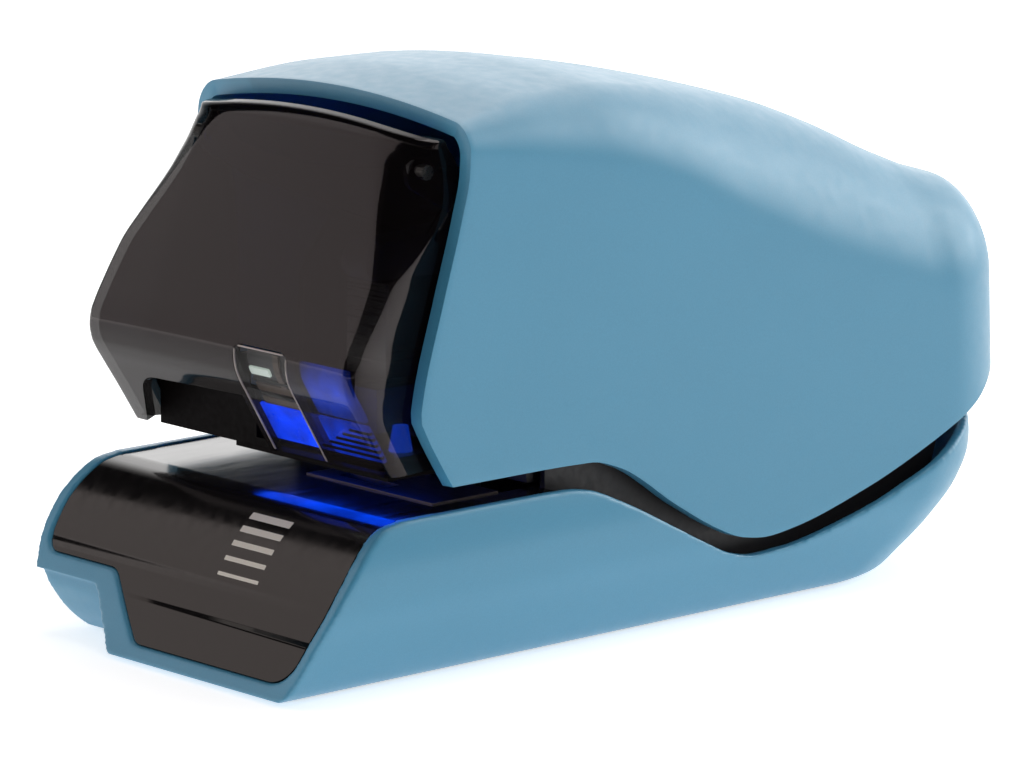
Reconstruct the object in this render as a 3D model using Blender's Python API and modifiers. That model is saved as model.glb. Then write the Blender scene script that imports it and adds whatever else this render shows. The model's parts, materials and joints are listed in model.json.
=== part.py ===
"""Cassette electric stapler, modelled as the assembly that it is on a bench.

Lengths below are millimetres and become metres when a mesh is made.
X is the width, -Y is the front, where the paper goes in, and +Z is up.
The origin is on the table, under the middle of the stapler.
"""
import math

import bmesh
import bpy
from mathutils import Vector

MM = 0.001
GAP = 0.3                      # clearance between neighbouring pieces

# Stapler as a whole
LENGTH = 215.0
FRONT_Y = -LENGTH / 2
REAR_Y = LENGTH / 2
SEAM_Z = 38.0                  # level of the front seam between base and upper housing

# Upper housing
WALL = 3.3
HOUSING_HALF_WIDTH = 46.7
HOUSING_DRAFT = 0.04           # how much the walls lean in, per millimetre of height
HOUSING_REAR_RADIUS = 27.0     # plan radius of the rear corners
TAIL_RADIUS = 16.0             # side-view radius of the rear top edge
CROWN_LINE = [(-60, 117.3), (-36, 119.5), (-20, 119.4), (1, 116.6), (22, 112.3),
              (44, 106.4), (60, 100.3), (77, 92.4), (89, 87.6), (98, 85.6), (108, 84.4)]
SHOULDER_RADIUS = [(-60, 5), (-40, 10), (-16, 14), (1, 17), (25, 24), (50, 28), (75, 26),
                   (92, 19), (108, 14)]
CROWN_SAG = [(-60, 4.3), (50, 4.6), (80, 3.6), (108, 2.0)]
HOUSING_EDGE = [(-68, 40.6), (-40, 40.6), (-27, 40.3), (-20, 38.2), (-4, 27.7), (8, 20.8),
                (15, 18.0), (22, 17.1), (30, 17.9), (52, 23.2), (72, 30.2), (88, 37.4),
                (100, 44.0), (108, 47.0)]
MOUTH_LINE = [(40.6, -66.3), (46, -69.6), (52, -72.9), (55.5, -74.3), (60, -73.5), (79, -67.3),
              (95, -61.8), (104, -59.3), (111, -58.8), (118, -58.6)]

# Base
BASE_WALL = 2.6
BASE_BOTTOM = 0.8
BASE_REAR_RADIUS = 27.0
BASE_HALF_WIDTH = [(0.8, 39.5), (2.0, 41.6), (5, 43.6), (13, 46.6), (20, 48.8), (26, 49.3),
                   (31, 48.6), (36, 47.2)]
BASE_REAR = [(0.8, 76.0), (2.0, 78.3), (5, 81.0), (12, 88.5), (20, 94.4), (26, 97.4),
             (31, 98.6), (36, 99.0)]
BASE_EDGE = [(-60, 35.6), (-36, 35.5), (-29, 34.6), (-22, 31.8), (-6, 23.6), (5, 18.0),
             (13, 14.6), (20, 13.3), (28, 13.6), (50, 18.3), (70, 25.4), (84, 31.4), (104, 38.0)]
NOSE_SLOPE = [(-80.0, 35.6), (-85.2, 34.7), (-88.8, 32.6), (-92.6, 29.2), (-96.0, 24.9),
              (-99.4, 19.5), (-103.4, 11.0), (-106.0, 4.5), (FRONT_Y, 0.8)]
NOTCH_TOP = 13.4               # lower edge of the wing at the front left
TONGUE_TOP_X = -26.0           # left edge of the tongue, at the notch's top and at the table
TONGUE_FOOT_X = -14.0
RIM = 3.2                      # visible rim around the front panel
PANEL_RECESS = 0.5
PANEL_THICKNESS = 2.0
PANEL_REAR_Y = -36.0

# Stapling head and its drive
STAPLE_X = 11.5                # the stapling line is off centre, to the right
STAPLE_Y = -59.0
HEAD_PIVOT = (10.0, 53.0)      # (Y, Z) of the shaft that the head tilts on
LEVER_PIVOT = (-4.0, 82.4)
CAM_AXIS = (40.0, 66.0)
HEAD_DROP = 4.8
DRIVER_STROKE = 11.5
CAM_TURN = math.pi             # the power stroke is half a turn of the cam
LEVER_SWING = (HEAD_DROP + DRIVER_STROKE) / (LEVER_PIVOT[0] - STAPLE_Y)
SHAFT_R = 3.0
ROLLER_R = 4.0
CAM_R = 7.5
MODULE = 0.8
CAM_TEETH = 44
IDLER_PINION_TEETH = 11
IDLER_TEETH = 40
MOTOR_TEETH = 10
IDLER_ANGLE = math.radians(-35)
MOTOR_ANGLE = math.radians(-20)
FRAME_X = 38.2                 # inner face of the side frames
FRAME_THICKNESS = 1.5

# Front cover
VISOR_THICKNESS = 2.0
VISOR_PIVOT = (-64.5, 104.0)
VISOR_REAR_Y = (-52.0, -60.5)   # rear edge at the bottom and at the top
# level, front face Y, half width, corner size across, corner size along
VISOR_LEVELS = [
    (43.5, -79.6, 41.2, 2.6, 3.0), (51.0, -84.0, 41.3, 2.6, 3.0),
    (57.0, -87.53, 41.4, 2.4, 2.8), (60.0, -89.3, 41.4, 2.4, 2.6),
    (62.5, -90.37, 41.3, 2.4, 2.6), (65.6, -90.82, 41.2, 2.4, 2.6),
    (68.2, -90.5, 41.1, 2.4, 2.6), (70.7, -89.57, 41.0, 2.4, 2.8),
    (76.0, -86.81, 40.9, 2.4, 3.2), (83.0, -83.16, 40.7, 2.4, 3.8),
    (90.0, -79.5, 40.6, 2.8, 4.6), (96.0, -76.37, 40.4, 4.2, 7.0),
    (102.0, -73.24, 40.1, 7.0, 11.0), (106.0, -71.15, 39.6, 8.8, 12.0),
    (109.5, -69.3, 38.9, 10.6, 12.0), (111.8, -67.85, 38.3, 13.0, 10.0),
    (113.0, -66.5, 37.7, 15.5, 8.0), (113.5, -64.8, 37.0, 18.0, 6.0)]
# how far the flanks stand out in front of the mouth
VISOR_FLARE = [(43.5, 0.8), (51, 1.2), (58, 1.6), (65, 2.0), (75, 2.4), (85, 2.6), (92, 2.0),
               (98, 1.0), (104, 0.3), (108, 0.0)]
VISOR_CROWN = 3.6
PANE_X = (6.3, 23.1)           # sides of the clear window
PANE_TOP = 67.7


def fresh_scene():
    for item in list(bpy.data.objects):
        bpy.data.objects.remove(item, do_unlink=True)


def new_collection(name):
    group = bpy.data.collections.new(name)
    bpy.context.scene.collection.children.link(group)
    return group


def surface(name, colour, roughness, metallic=0.0, alpha=1.0):
    """One Principled material."""
    material = bpy.data.materials.new(name)
    material.use_nodes = True
    shader = material.node_tree.nodes["Principled BSDF"]
    shader.inputs["Base Color"].default_value = (*colour, 1.0)
    shader.inputs["Roughness"].default_value = roughness
    shader.inputs["Metallic"].default_value = metallic
    shader.inputs["Alpha"].default_value = alpha
    return material


def smooth_value(points, at):
    """Value of the smooth curve through (position, value) points."""
    if at <= points[0][0]:
        return points[0][1]
    if at >= points[-1][0]:
        return points[-1][1]
    slopes = [(b[1] - a[1]) / (b[0] - a[0]) for a, b in zip(points, points[1:])]
    tangents = [slopes[0]]
    for before, after in zip(slopes, slopes[1:]):
        same_way = before * after > 0
        tangents.append(2 * before * after / (before + after) if same_way else 0.0)
    tangents.append(slopes[-1])
    for index, (left, right) in enumerate(zip(points, points[1:])):
        if at <= right[0]:
            break
    span = right[0] - left[0]
    t = (at - left[0]) / span
    rise = (2 * t ** 3 - 3 * t ** 2 + 1) * left[1] + (3 * t ** 2 - 2 * t ** 3) * right[1]
    lean = (t ** 3 - 2 * t ** 2 + t) * tangents[index] + (t ** 3 - t ** 2) * tangents[index + 1]
    return rise + lean * span


def steps(start, stop, count):
    return [start + (stop - start) * i / (count - 1) for i in range(count)]


def offset_path(points, distance):
    """The open path moved to its left side by a distance."""
    moved = []
    for i, point in enumerate(points):
        before = Vector(points[max(i - 1, 0)])
        after = Vector(points[min(i + 1, len(points) - 1)])
        along = (after - before).normalized()
        moved.append((point[0] - along.y * distance, point[1] + along.x * distance))
    return moved


def rounded(points, radii, segments=5):
    """Closed outline with an arc at each corner that has a radius."""
    outline = []
    for i, radius in enumerate(radii):
        corner = Vector(points[i])
        if radius == 0:
            outline.append(tuple(corner))
            continue
        back = (Vector(points[i - 1]) - corner).normalized()
        ahead = (Vector(points[(i + 1) % len(points)]) - corner).normalized()
        half = back.angle(ahead) / 2
        middle = (back + ahead).normalized()
        centre = corner + middle * radius / math.sin(half)
        sweep = math.pi / 2 - half
        side = Vector((-middle.y, middle.x))
        if side.dot(back) < 0:
            side = -side
        for step in range(segments + 1):
            angle = sweep * (1 - 2 * step / segments)
            outline.append(tuple(centre - middle * radius * math.cos(angle)
                                 + side * radius * math.sin(angle)))
    return outline


def circle(y, z, radius, count=24):
    return [(y + radius * math.cos(2 * math.pi * i / count),
             z + radius * math.sin(2 * math.pi * i / count)) for i in range(count)]


class Kit:
    """Makes named objects in the part's collection, and cutters in another."""

    def __init__(self, parts, cutters):
        self.parts = parts
        self.cutters = cutters

    def add(self, name, mesh, at=(0, 0, 0), material=None, cutter=False, smooth=True):
        thing = bpy.data.objects.new(name, mesh)
        thing.location = Vector(at) * MM
        (self.cutters if cutter else self.parts).objects.link(thing)
        if cutter:
            thing.hide_render = True
            thing.display_type = "WIRE"
        if material:
            mesh.materials.append(material)
        if smooth:
            mesh.shade_smooth()
            mesh.set_sharp_from_angle(angle=math.radians(35))
        return thing

    def from_bmesh(self, name, shape, **options):
        bmesh.ops.recalc_face_normals(shape, faces=shape.faces)
        if shape.calc_volume(signed=True) < 0:
            bmesh.ops.reverse_faces(shape, faces=shape.faces)
        mesh = bpy.data.meshes.new(name)
        shape.to_mesh(mesh)
        shape.free()
        return self.add(name, mesh, **options)

    def box(self, name, low, high, **options):
        """A box between two corners, with its origin at its middle."""
        shape = bmesh.new()
        size = Vector(high) - Vector(low)
        bmesh.ops.create_cube(shape, size=1.0)
        bmesh.ops.scale(shape, vec=size * MM, verts=shape.verts)
        middle = (Vector(low) + Vector(high)) / 2
        return self.from_bmesh(name, shape, at=middle, smooth=False, **options)

    def rod(self, name, axis, start, stop, across, radius, sides=20, radius_end=None, **options):
        """A cylinder or cone along an axis letter; across holds its other two coordinates."""
        shape = bmesh.new()
        end = radius if radius_end is None else radius_end
        bmesh.ops.create_cone(shape, cap_ends=True, segments=sides, radius1=radius * MM,
                              radius2=end * MM, depth=abs(stop - start) * MM)
        middle = (start + stop) / 2
        turned = {"X": (lambda v: Vector((v.z, v.x, v.y)), (middle, across[0], across[1])),
                  "Y": (lambda v: Vector((v.y, v.z, v.x)), (across[0], middle, across[1])),
                  "Z": (lambda v: v.copy(), (across[0], across[1], middle))}[axis]
        for vertex in shape.verts:
            vertex.co = turned[0](vertex.co)
        return self.from_bmesh(name, shape, at=turned[1], **options)

    def plate(self, name, axis, low, high, outlines, **options):
        """Flat outlines thickened along an axis letter, with inner outlines as holes.

        Points are (Y, Z) for X, (X, Z) for Y and (X, Y) for Z.
        """
        curve = bpy.data.curves.new(name, "CURVE")
        curve.dimensions = "2D"
        curve.fill_mode = "BOTH"
        curve.extrude = (high - low) / 2 * MM
        for outline in outlines:
            spline = curve.splines.new("POLY")
            spline.points.add(len(outline) - 1)
            spline.use_cyclic_u = True
            for point, (across, up) in zip(spline.points, outline):
                point.co = (across * MM, up * MM, 0, 1)
        drawing = bpy.data.objects.new(name + "_outline", curve)
        bpy.context.scene.collection.objects.link(drawing)
        bpy.context.view_layer.update()
        evaluated = drawing.evaluated_get(bpy.context.evaluated_depsgraph_get())
        flat = bpy.data.meshes.new_from_object(evaluated)
        bpy.data.objects.remove(drawing, do_unlink=True)
        shape = bmesh.new()
        shape.from_mesh(flat)
        bpy.data.meshes.remove(flat)
        bmesh.ops.remove_doubles(shape, verts=shape.verts, dist=0.000001)
        middle = (low + high) / 2
        turned = {"X": (lambda v: Vector((v.z, v.x, v.y)), (middle, 0, 0)),
                  "Y": (lambda v: Vector((v.x, v.z, v.y)), (0, middle, 0)),
                  "Z": (lambda v: v.copy(), (0, 0, middle))}[axis]
        for vertex in shape.verts:
            vertex.co = turned[0](vertex.co)
        return self.from_bmesh(name, shape, at=turned[1], **options)

    def rings(self, name, loops, close_ends=True, ladder=False, **options):
        """A skin through rows of points; a ladder closes the last row across."""
        shape = bmesh.new()
        rows = [[shape.verts.new(Vector(point) * MM) for point in loop] for loop in loops]
        count = len(rows[0])
        last = count if close_ends else count - 1
        for lower, upper in zip(rows, rows[1:]):
            for i in range(last):
                j = (i + 1) % count
                shape.faces.new((lower[i], lower[j], upper[j], upper[i]))
        if close_ends:
            shape.faces.new(rows[0])
            shape.faces.new(rows[-1])
        if ladder:
            final = rows[-1]
            for i in range(count // 2):
                corners = [final[i], final[i + 1], final[-2 - i], final[-1 - i]]
                distinct = list(dict.fromkeys(corners))
                if len(distinct) > 2:
                    shape.faces.new(distinct)
        return self.from_bmesh(name, shape, **options)


def boolean(thing, other, operation):
    step = thing.modifiers.new(operation.lower() + "_" + other.name, "BOOLEAN")
    step.operation = operation
    step.solver = "EXACT"
    step.object = other


def cut(thing, *cutters):
    for cutter in cutters:
        boolean(thing, cutter, "DIFFERENCE")


def fuse(thing, *others):
    for other in others:
        boolean(thing, other, "UNION")


def common(thing, *others):
    for other in others:
        boolean(thing, other, "INTERSECT")


def hang(empty_name, at, parts, things):
    """An empty on the joint's axis that carries the pieces that move together."""
    pivot = bpy.data.objects.new(empty_name, None)
    pivot.location = Vector(at) * MM
    parts.objects.link(pivot)
    for thing in things:
        thing.parent = pivot
        thing.location -= pivot.location
    return pivot


# ---------------------------------------------------------------- outer shells

def housing_section(y, count):
    """Points of the housing's outer skin across one station, right foot to left foot."""
    crown = smooth_value(CROWN_LINE, y)
    radius = smooth_value(SHOULDER_RADIUS, y)
    sag = smooth_value(CROWN_SAG, y)
    half = HOUSING_HALF_WIDTH
    past = y - (REAR_Y - HOUSING_REAR_RADIUS)
    if past > 0:
        half -= HOUSING_REAR_RADIUS - math.sqrt(max(HOUSING_REAR_RADIUS ** 2 - past ** 2, 0))
    past = y - (REAR_Y - TAIL_RADIUS)
    if past > 0:
        crown -= TAIL_RADIUS - math.sqrt(max(TAIL_RADIUS ** 2 - past ** 2, 0))
    foot = smooth_value(HOUSING_EDGE, y)
    radius = min(radius, half * 0.8)
    corner_z = crown - sag
    wall_points = count // 4
    corner_points = count // 5
    side = []
    for z in steps(foot, corner_z - radius, wall_points):
        side.append((half, z))
    for i in range(1, corner_points + 1):
        angle = math.pi / 2 * i / corner_points
        x = half - radius + radius * math.sin(math.pi / 2 - angle)
        drop = radius - radius * math.sin(angle)
        side.append((x, crown - sag * (x / half) ** 2 - drop))
    inner = side[-1][0]
    middle_points = max(count // 2 - len(side), 1)
    for i in range(1, middle_points):
        x = inner * (1 - i / middle_points)
        side.append((x, crown - sag * (x / half) ** 2))
    full = side + [(0.0, crown)] + [(-x, z) for x, z in reversed(side)]
    return [(x * (1 - HOUSING_DRAFT * (z - SEAM_Z) / half), z) for x, z in full]


def housing_skin(stations, count):
    """Rows of the housing's outer skin from the mouth to the rear face."""
    rows = []
    front = -58.6
    depth = REAR_Y - front
    for i in range(stations):
        t = i / (stations - 1)
        travel = math.sin(t * math.pi / 2) * 0.55 + t * 0.45
        y = front + depth * travel
        fade = max(0.0, 1 - travel * 3.2) ** 2
        row = []
        for x, z in housing_section(y, count):
            lean = (smooth_value(MOUTH_LINE, z) - front) * fade
            row.append((x, y + lean, z))
        rows.append(row)
    return rows


def upper_housing(kit, paint):
    shell = kit.rings("upper_housing", housing_skin(24, 34), close_ends=False, ladder=True,
                      material=paint)
    wall = shell.modifiers.new("wall", "SOLIDIFY")
    wall.thickness = WALL * MM
    wall.offset = -1
    wall.use_even_offset = True
    return shell


def hull(kit, name, inset, levels, front_y, **options):
    """Solid boat-shaped body of the base, with a round rear, inset from the outside."""
    loops = []
    for z in levels:
        half = smooth_value(BASE_HALF_WIDTH, z) - inset
        rear = smooth_value(BASE_REAR, z) - inset
        radius = BASE_REAR_RADIUS - inset
        loop = [(-half, front_y, z), (half, front_y, z)]
        for i in range(9):
            angle = math.pi / 2 * i / 8
            loop.append((half - radius + radius * math.cos(angle),
                         rear - radius + radius * math.sin(angle), z))
        loop += [(-x, y, z) for x, y, z in reversed(loop[2:])]
        loops.append(loop)
    return kit.rings(name, loops, **options)


def base_side_outline():
    """Side view of the base, with its sweeping upper edge and sloping nose."""
    upper = [(y, smooth_value(BASE_EDGE, y)) for y in
             [-60, -36, -32, -28, -24, -20, -14, -8, -2, 4, 9, 14, 19, 24, 30, 40, 50, 60, 70,
              78, 86, 94, 104]]
    slope = list(reversed(NOSE_SLOPE))
    return slope + upper + [(104, BASE_BOTTOM)]


def panel_outline(margin):
    """Front view of the front panel: full width above the notch, a tongue below it."""
    side = []
    for z in (37.5, 31, 26, 20, 13, 7):
        side.append((smooth_value(BASE_HALF_WIDTH, min(z, 34)) - RIM - margin, z))
    foot = 4.0 + margin
    corner = [(39.6 - margin, foot), (TONGUE_FOOT_X + 5.2 + margin, foot),
              (TONGUE_TOP_X + 4.4 + margin, NOTCH_TOP + 3.6 + margin)]
    left = [(-x, z) for x, z in reversed(side) if z > NOTCH_TOP + 5]
    left = [(-side[3][0], NOTCH_TOP + 3.6 + margin)] + left[1:]
    points = side[:-1] + corner + left
    radii = [0] * (len(side) - 1) + [8, 3.5, 5, 3] + [0] * (len(left) - 1)
    return rounded(points, radii, 4)


def notch(kit, name, grow):
    """Room under the wing at the front left, grown on every side."""
    top = NOTCH_TOP + grow
    front_view = rounded([(-70, top), (TONGUE_TOP_X + grow, top), (TONGUE_FOOT_X + grow, -2), (-70, -2)],
                         [0, 4.5, 0, 0], 5)
    room = kit.plate(name, "Y", -125, -80, [front_view], cutter=True)
    scoop = [(-130, top + 2), (-100.5, top + 2), (-100.2, 11), (-99.0, 8), (-97.0, 4.5), (-94.0, 0.5),
             (-93.0, -3), (-130, -3)]
    scoop = [(y + grow, z) for y, z in scoop]
    back = kit.plate(name + "_scoop", "X", -80, 20, [scoop], cutter=True)
    common(room, back)
    return room


def base_shell(kit, paint):
    levels = [BASE_BOTTOM, 2.0, 5, 9, 13, 20, 26, 31, 36, 40]
    shell = hull(kit, "base_shell", 0, levels, -115, material=paint)
    side = kit.plate("base_side", "X", -60, 60, [base_side_outline()], cutter=True)
    inside = hull(kit, "base_inside", BASE_WALL, [-2, BASE_BOTTOM, 2.0, 5, 9, 13, 20, 26, 31, 36, 46],
                  -115, cutter=True)
    thick = PANEL_RECESS + PANEL_THICKNESS + BASE_WALL
    nose = [p for p in offset_path(list(reversed(NOSE_SLOPE)), -thick) if p[1] > 0]
    room = [(nose[0][0], -3)] + nose + [(-70, 30.4), (-70, 60), (120, 60), (120, -3)]
    room = kit.plate("base_room", "X", -60, 60, [room], cutter=True)
    common(room, inside)
    cut(room, notch(kit, "notch_wall", BASE_WALL))
    recess_path = list(reversed(NOSE_SLOPE)) + [(PANEL_REAR_Y + 20, 35.6)]
    deep = offset_path(recess_path, -(PANEL_RECESS + PANEL_THICKNESS + GAP))
    high = offset_path(recess_path, 4)
    recess = kit.plate("panel_recess", "X", -60, 60, [deep + list(reversed(high))], cutter=True)
    window = kit.plate("panel_recess_view", "Y", -120, PANEL_REAR_Y + 30,
                       [panel_outline(0)], cutter=True)
    common(recess, window)
    inlet = kit.rod("inlet_hole", "Y", 75, 110, (-12, 20), 5.0, cutter=True)
    switch = kit.box("switch_hole", (8, 75, 16.5), (22, 110, 24.5), cutter=True)
    common(shell, side)
    cut(shell, notch(kit, "notch_room", 0), room, recess, inlet, switch)
    return shell


def front_panel(kit, paint):
    """Bent glossy plate that the paper slides in over."""
    path = [p for p in reversed(NOSE_SLOPE)] + [(PANEL_REAR_Y, 35.6)]
    top = offset_path(path, -PANEL_RECESS)
    under = offset_path(path, -(PANEL_RECESS + PANEL_THICKNESS))
    panel = kit.plate("front_panel", "X", -48, 48, [top + list(reversed(under))], material=paint)
    view = kit.plate("panel_view", "Y", -120, PANEL_REAR_Y + 2, [panel_outline(GAP)], cutter=True)
    anvil_bay = kit.box("anvil_bay", (-3, -64.5, 30), (38, -30, 40), cutter=True)
    common(panel, view)
    cut(panel, anvil_bay)
    return panel


def base_fittings(kit, paints):
    """Bottom cover, feet, screws, anvil and what stands on the base's floor."""
    cover = hull(kit, "bottom_cover", BASE_WALL + 0.4, [1.2, 3.0], -97, material=paints["dark"])
    notch_side = kit.plate("cover_notch", "Z", 0, 5,
                           [[(-60, -120), (-9.5, -120), (-9.5, -88.5), (-60, -88.5)]], cutter=True)
    cut(cover, notch_side)
    for x, side in ((-26, "left"), (26, "right")):
        for y, end in ((-76, "front"), (48, "rear")):
            kit.rod(f"foot_{end}_{side}", "Z", 0, 0.9, (x, y), 5.0, 20, material=paints["rubber"])
            well = kit.rod(f"screw_well_{end}_{side}", "Z", 0, 2.0, (x, y + 12), 3.4, 16, cutter=True)
            bore = kit.rod(f"screw_bore_{end}_{side}", "Z", 1, 4.0, (x, y + 12), 1.8, 12, cutter=True)
            cut(cover, well, bore)
            screw = kit.rod(f"bottom_screw_{end}_{side}", "Z", 1.4, 13, (x, y + 12), 1.4, 10,
                            material=paints["steel"])
            head = kit.rod(f"screw_head_{end}_{side}", "Z", 0.9, 1.7, (x, y + 12), 3.0, 14, cutter=True)
            fuse(screw, head)
    anvil = kit.box("anvil_plate", (-2.6, -64.1, 33.4), (37.6, -46, 35.4), material=paints["steel"])
    slot = kit.box("clinch_slot", (STAPLE_X - 8, STAPLE_Y - 1.6, 30),
                   (STAPLE_X + 8, STAPLE_Y + 1.6, 40), cutter=True)
    cut(anvil, slot)
    kit.box("paper_stop", (-37.6, -38.2, 36.0), (37.6, -36.4, 41.4), material=paints["dark"])
    board = kit.box("circuit_board", (-34, -10, 9), (-4, 46, 10.6), material=paints["board"])
    kit.rod("board_capacitor", "Z", 10.9, 21, (-26, 0), 4.0, 18, material=paints["dark"])
    kit.box("board_connector", (-14, 34, 10.9), (-6, 44, 16), material=paints["white"])
    kit.box("motor_relay", (-20, 2, 10.9), (-8, 16, 19), material=paints["dark"])
    barrel = kit.rod("power_inlet", "Y", 78, 90.6, (-12, 20), 4.6, 24, material=paints["dark"])
    bore = kit.rod("inlet_bore", "Y", 80, 100, (-12, 20), 2.8, 20, cutter=True)
    pin = kit.rod("inlet_pin", "Y", 79, 88, (-12, 20), 0.8, 10, cutter=True)
    cut(barrel, bore)
    fuse(barrel, pin)
    kit.box("switch_housing", (7, 76, 14.5), (23, 84.6, 26.5), material=paints["dark"])
    return board


def side_frames(kit, paint):
    """Two dark side plates that carry the mechanism and the upper housing."""
    outline = rounded([(-35, 6), (56, 6), (70, 14), (80, 24), (86, 44), (86, 62), (50, 74), (10, 88),
                       (-20, 88), (-35, 70)], [3, 6, 6, 6, 5, 8, 8, 6, 6, 8], 3)
    bores = [circle(y, z, SHAFT_R + GAP, 20) for y, z in (HEAD_PIVOT, LEVER_PIVOT, CAM_AXIS)]
    bores.append(circle(*idler_axis(), 2.3, 16))
    inner = FRAME_X
    outer = FRAME_X + FRAME_THICKNESS
    kit.plate("right_side_frame", "X", inner, outer, [outline] + bores, material=paint)
    kit.plate("left_side_frame", "X", -outer, -inner, [outline] + bores[:3], material=paint)
    kit.box("rear_frame", (-33, 89.3, 28), (33, 90.7, 58), material=paint)


def idler_axis():
    reach = MODULE * (CAM_TEETH + IDLER_PINION_TEETH) / 2
    return (CAM_AXIS[0] + reach * math.cos(IDLER_ANGLE), CAM_AXIS[1] + reach * math.sin(IDLER_ANGLE))


def motor_axis():
    reach = MODULE * (IDLER_TEETH + MOTOR_TEETH) / 2
    y, z = idler_axis()
    return (y + reach * math.cos(MOTOR_ANGLE), z + reach * math.sin(MOTOR_ANGLE))


def gear_outline(centre, teeth, phase):
    """Straight-flanked teeth, thin enough to run with a little backlash."""
    pitch = MODULE * teeth / 2
    step = 2 * math.pi / teeth
    tip = pitch + MODULE * 0.82
    root = pitch - MODULE * 1.2
    points = []
    for tooth in range(teeth):
        middle = phase + tooth * step
        for radius, share in ((root, -0.29), (tip, -0.11), (tip, 0.11), (root, 0.29)):
            angle = middle + share * step
            points.append((centre[0] + radius * math.cos(angle), centre[1] + radius * math.sin(angle)))
    return points


def drive_train(kit, paints):
    """Motor, three meshing gears, cam shaft and cam; returns the turning pieces."""
    idler = idler_axis()
    motor = motor_axis()
    body = kit.rod("motor", "X", -20, 23.4, motor, 12.0, 28, material=paints["steel"])
    flats = [kit.box(f"motor_flat_{name}", (-30, motor[0] - 20, low), (30, motor[0] + 20, high),
                     cutter=True)
             for name, low, high in (("top", motor[1] + 10, motor[1] + 20),
                                     ("bottom", motor[1] - 20, motor[1] - 10))]
    cut(body, *flats)
    kit.plate("motor_bracket", "X", 23.8, 25.3,
              [rounded([(motor[0] - 11, motor[1] - 13), (motor[0] + 11.8, motor[1] - 13),
                        (motor[0] + 11.8, motor[1] + 13), (motor[0] - 11, motor[1] + 13)],
                       [3, 3, 3, 3], 3), circle(*motor, 2.6, 16)], material=paints["zinc"])
    cam_phase = IDLER_ANGLE
    pinion_phase = IDLER_ANGLE + math.pi + math.pi / IDLER_PINION_TEETH
    wheel_phase = MOTOR_ANGLE
    motor_phase = MOTOR_ANGLE + math.pi + math.pi / MOTOR_TEETH
    shaft = kit.rod("cam_shaft", "X", -40.4, 40.4, CAM_AXIS, SHAFT_R, 20, material=paints["steel"])
    cam_gear = kit.plate("cam_gear", "X", 19.5, 24.5,
                         [gear_outline(CAM_AXIS, CAM_TEETH, cam_phase),
                          circle(*CAM_AXIS, SHAFT_R + GAP, 20)], material=paints["white"])
    swell = ROLLER_R + 0.8
    turn = []
    for i in range(25):
        angle = CAM_TURN * i / 24
        reach = CAM_R + swell + (LEVER_SWING * (CAM_AXIS[0] - LEVER_PIVOT[0])) * i / 24
        turn.append((angle, reach - swell))
    closing = [(CAM_TURN + (2 * math.pi - CAM_TURN) * t,
                turn[-1][1] + (CAM_R - turn[-1][1]) * (3 * t ** 2 - 2 * t ** 3))
               for t in steps(0, 1, 14)[1:-1]]
    start = math.pi / 2
    cam_points = [(CAM_AXIS[0] + r * math.cos(start - a), CAM_AXIS[1] + r * math.sin(start - a))
                  for a, r in turn + closing]
    cam = kit.plate("drive_cam", "X", STAPLE_X - 3, STAPLE_X + 3,
                    [cam_points, circle(*CAM_AXIS, SHAFT_R + GAP, 20)], material=paints["zinc"])
    pinion = kit.plate("idler_gear", "X", 19.0, 27.2,
                       [gear_outline(idler, IDLER_PINION_TEETH, pinion_phase),
                        circle(*idler, 2.3, 16)], material=paints["white"])
    wheel = kit.plate("idler_wheel", "X", 26.8, 31.2,
                      [gear_outline(idler, IDLER_TEETH, wheel_phase), circle(*idler, 2.3, 16)],
                      cutter=True)
    fuse(pinion, wheel)
    kit.rod("idler_axle", "X", 15.4, 40.4, idler, 2.0, 16, material=paints["steel"])
    motor_pinion = kit.plate("motor_pinion", "X", 26.6, 31.6,
                             [gear_outline(motor, MOTOR_TEETH, motor_phase), circle(*motor, 1.4, 12)],
                             material=paints["brass"])
    motor_shaft = kit.rod("motor_shaft", "X", 23.7, 33, motor, 1.1, 12, material=paints["steel"])
    return shaft, cam_gear, cam, pinion, motor_pinion, motor_shaft


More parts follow.
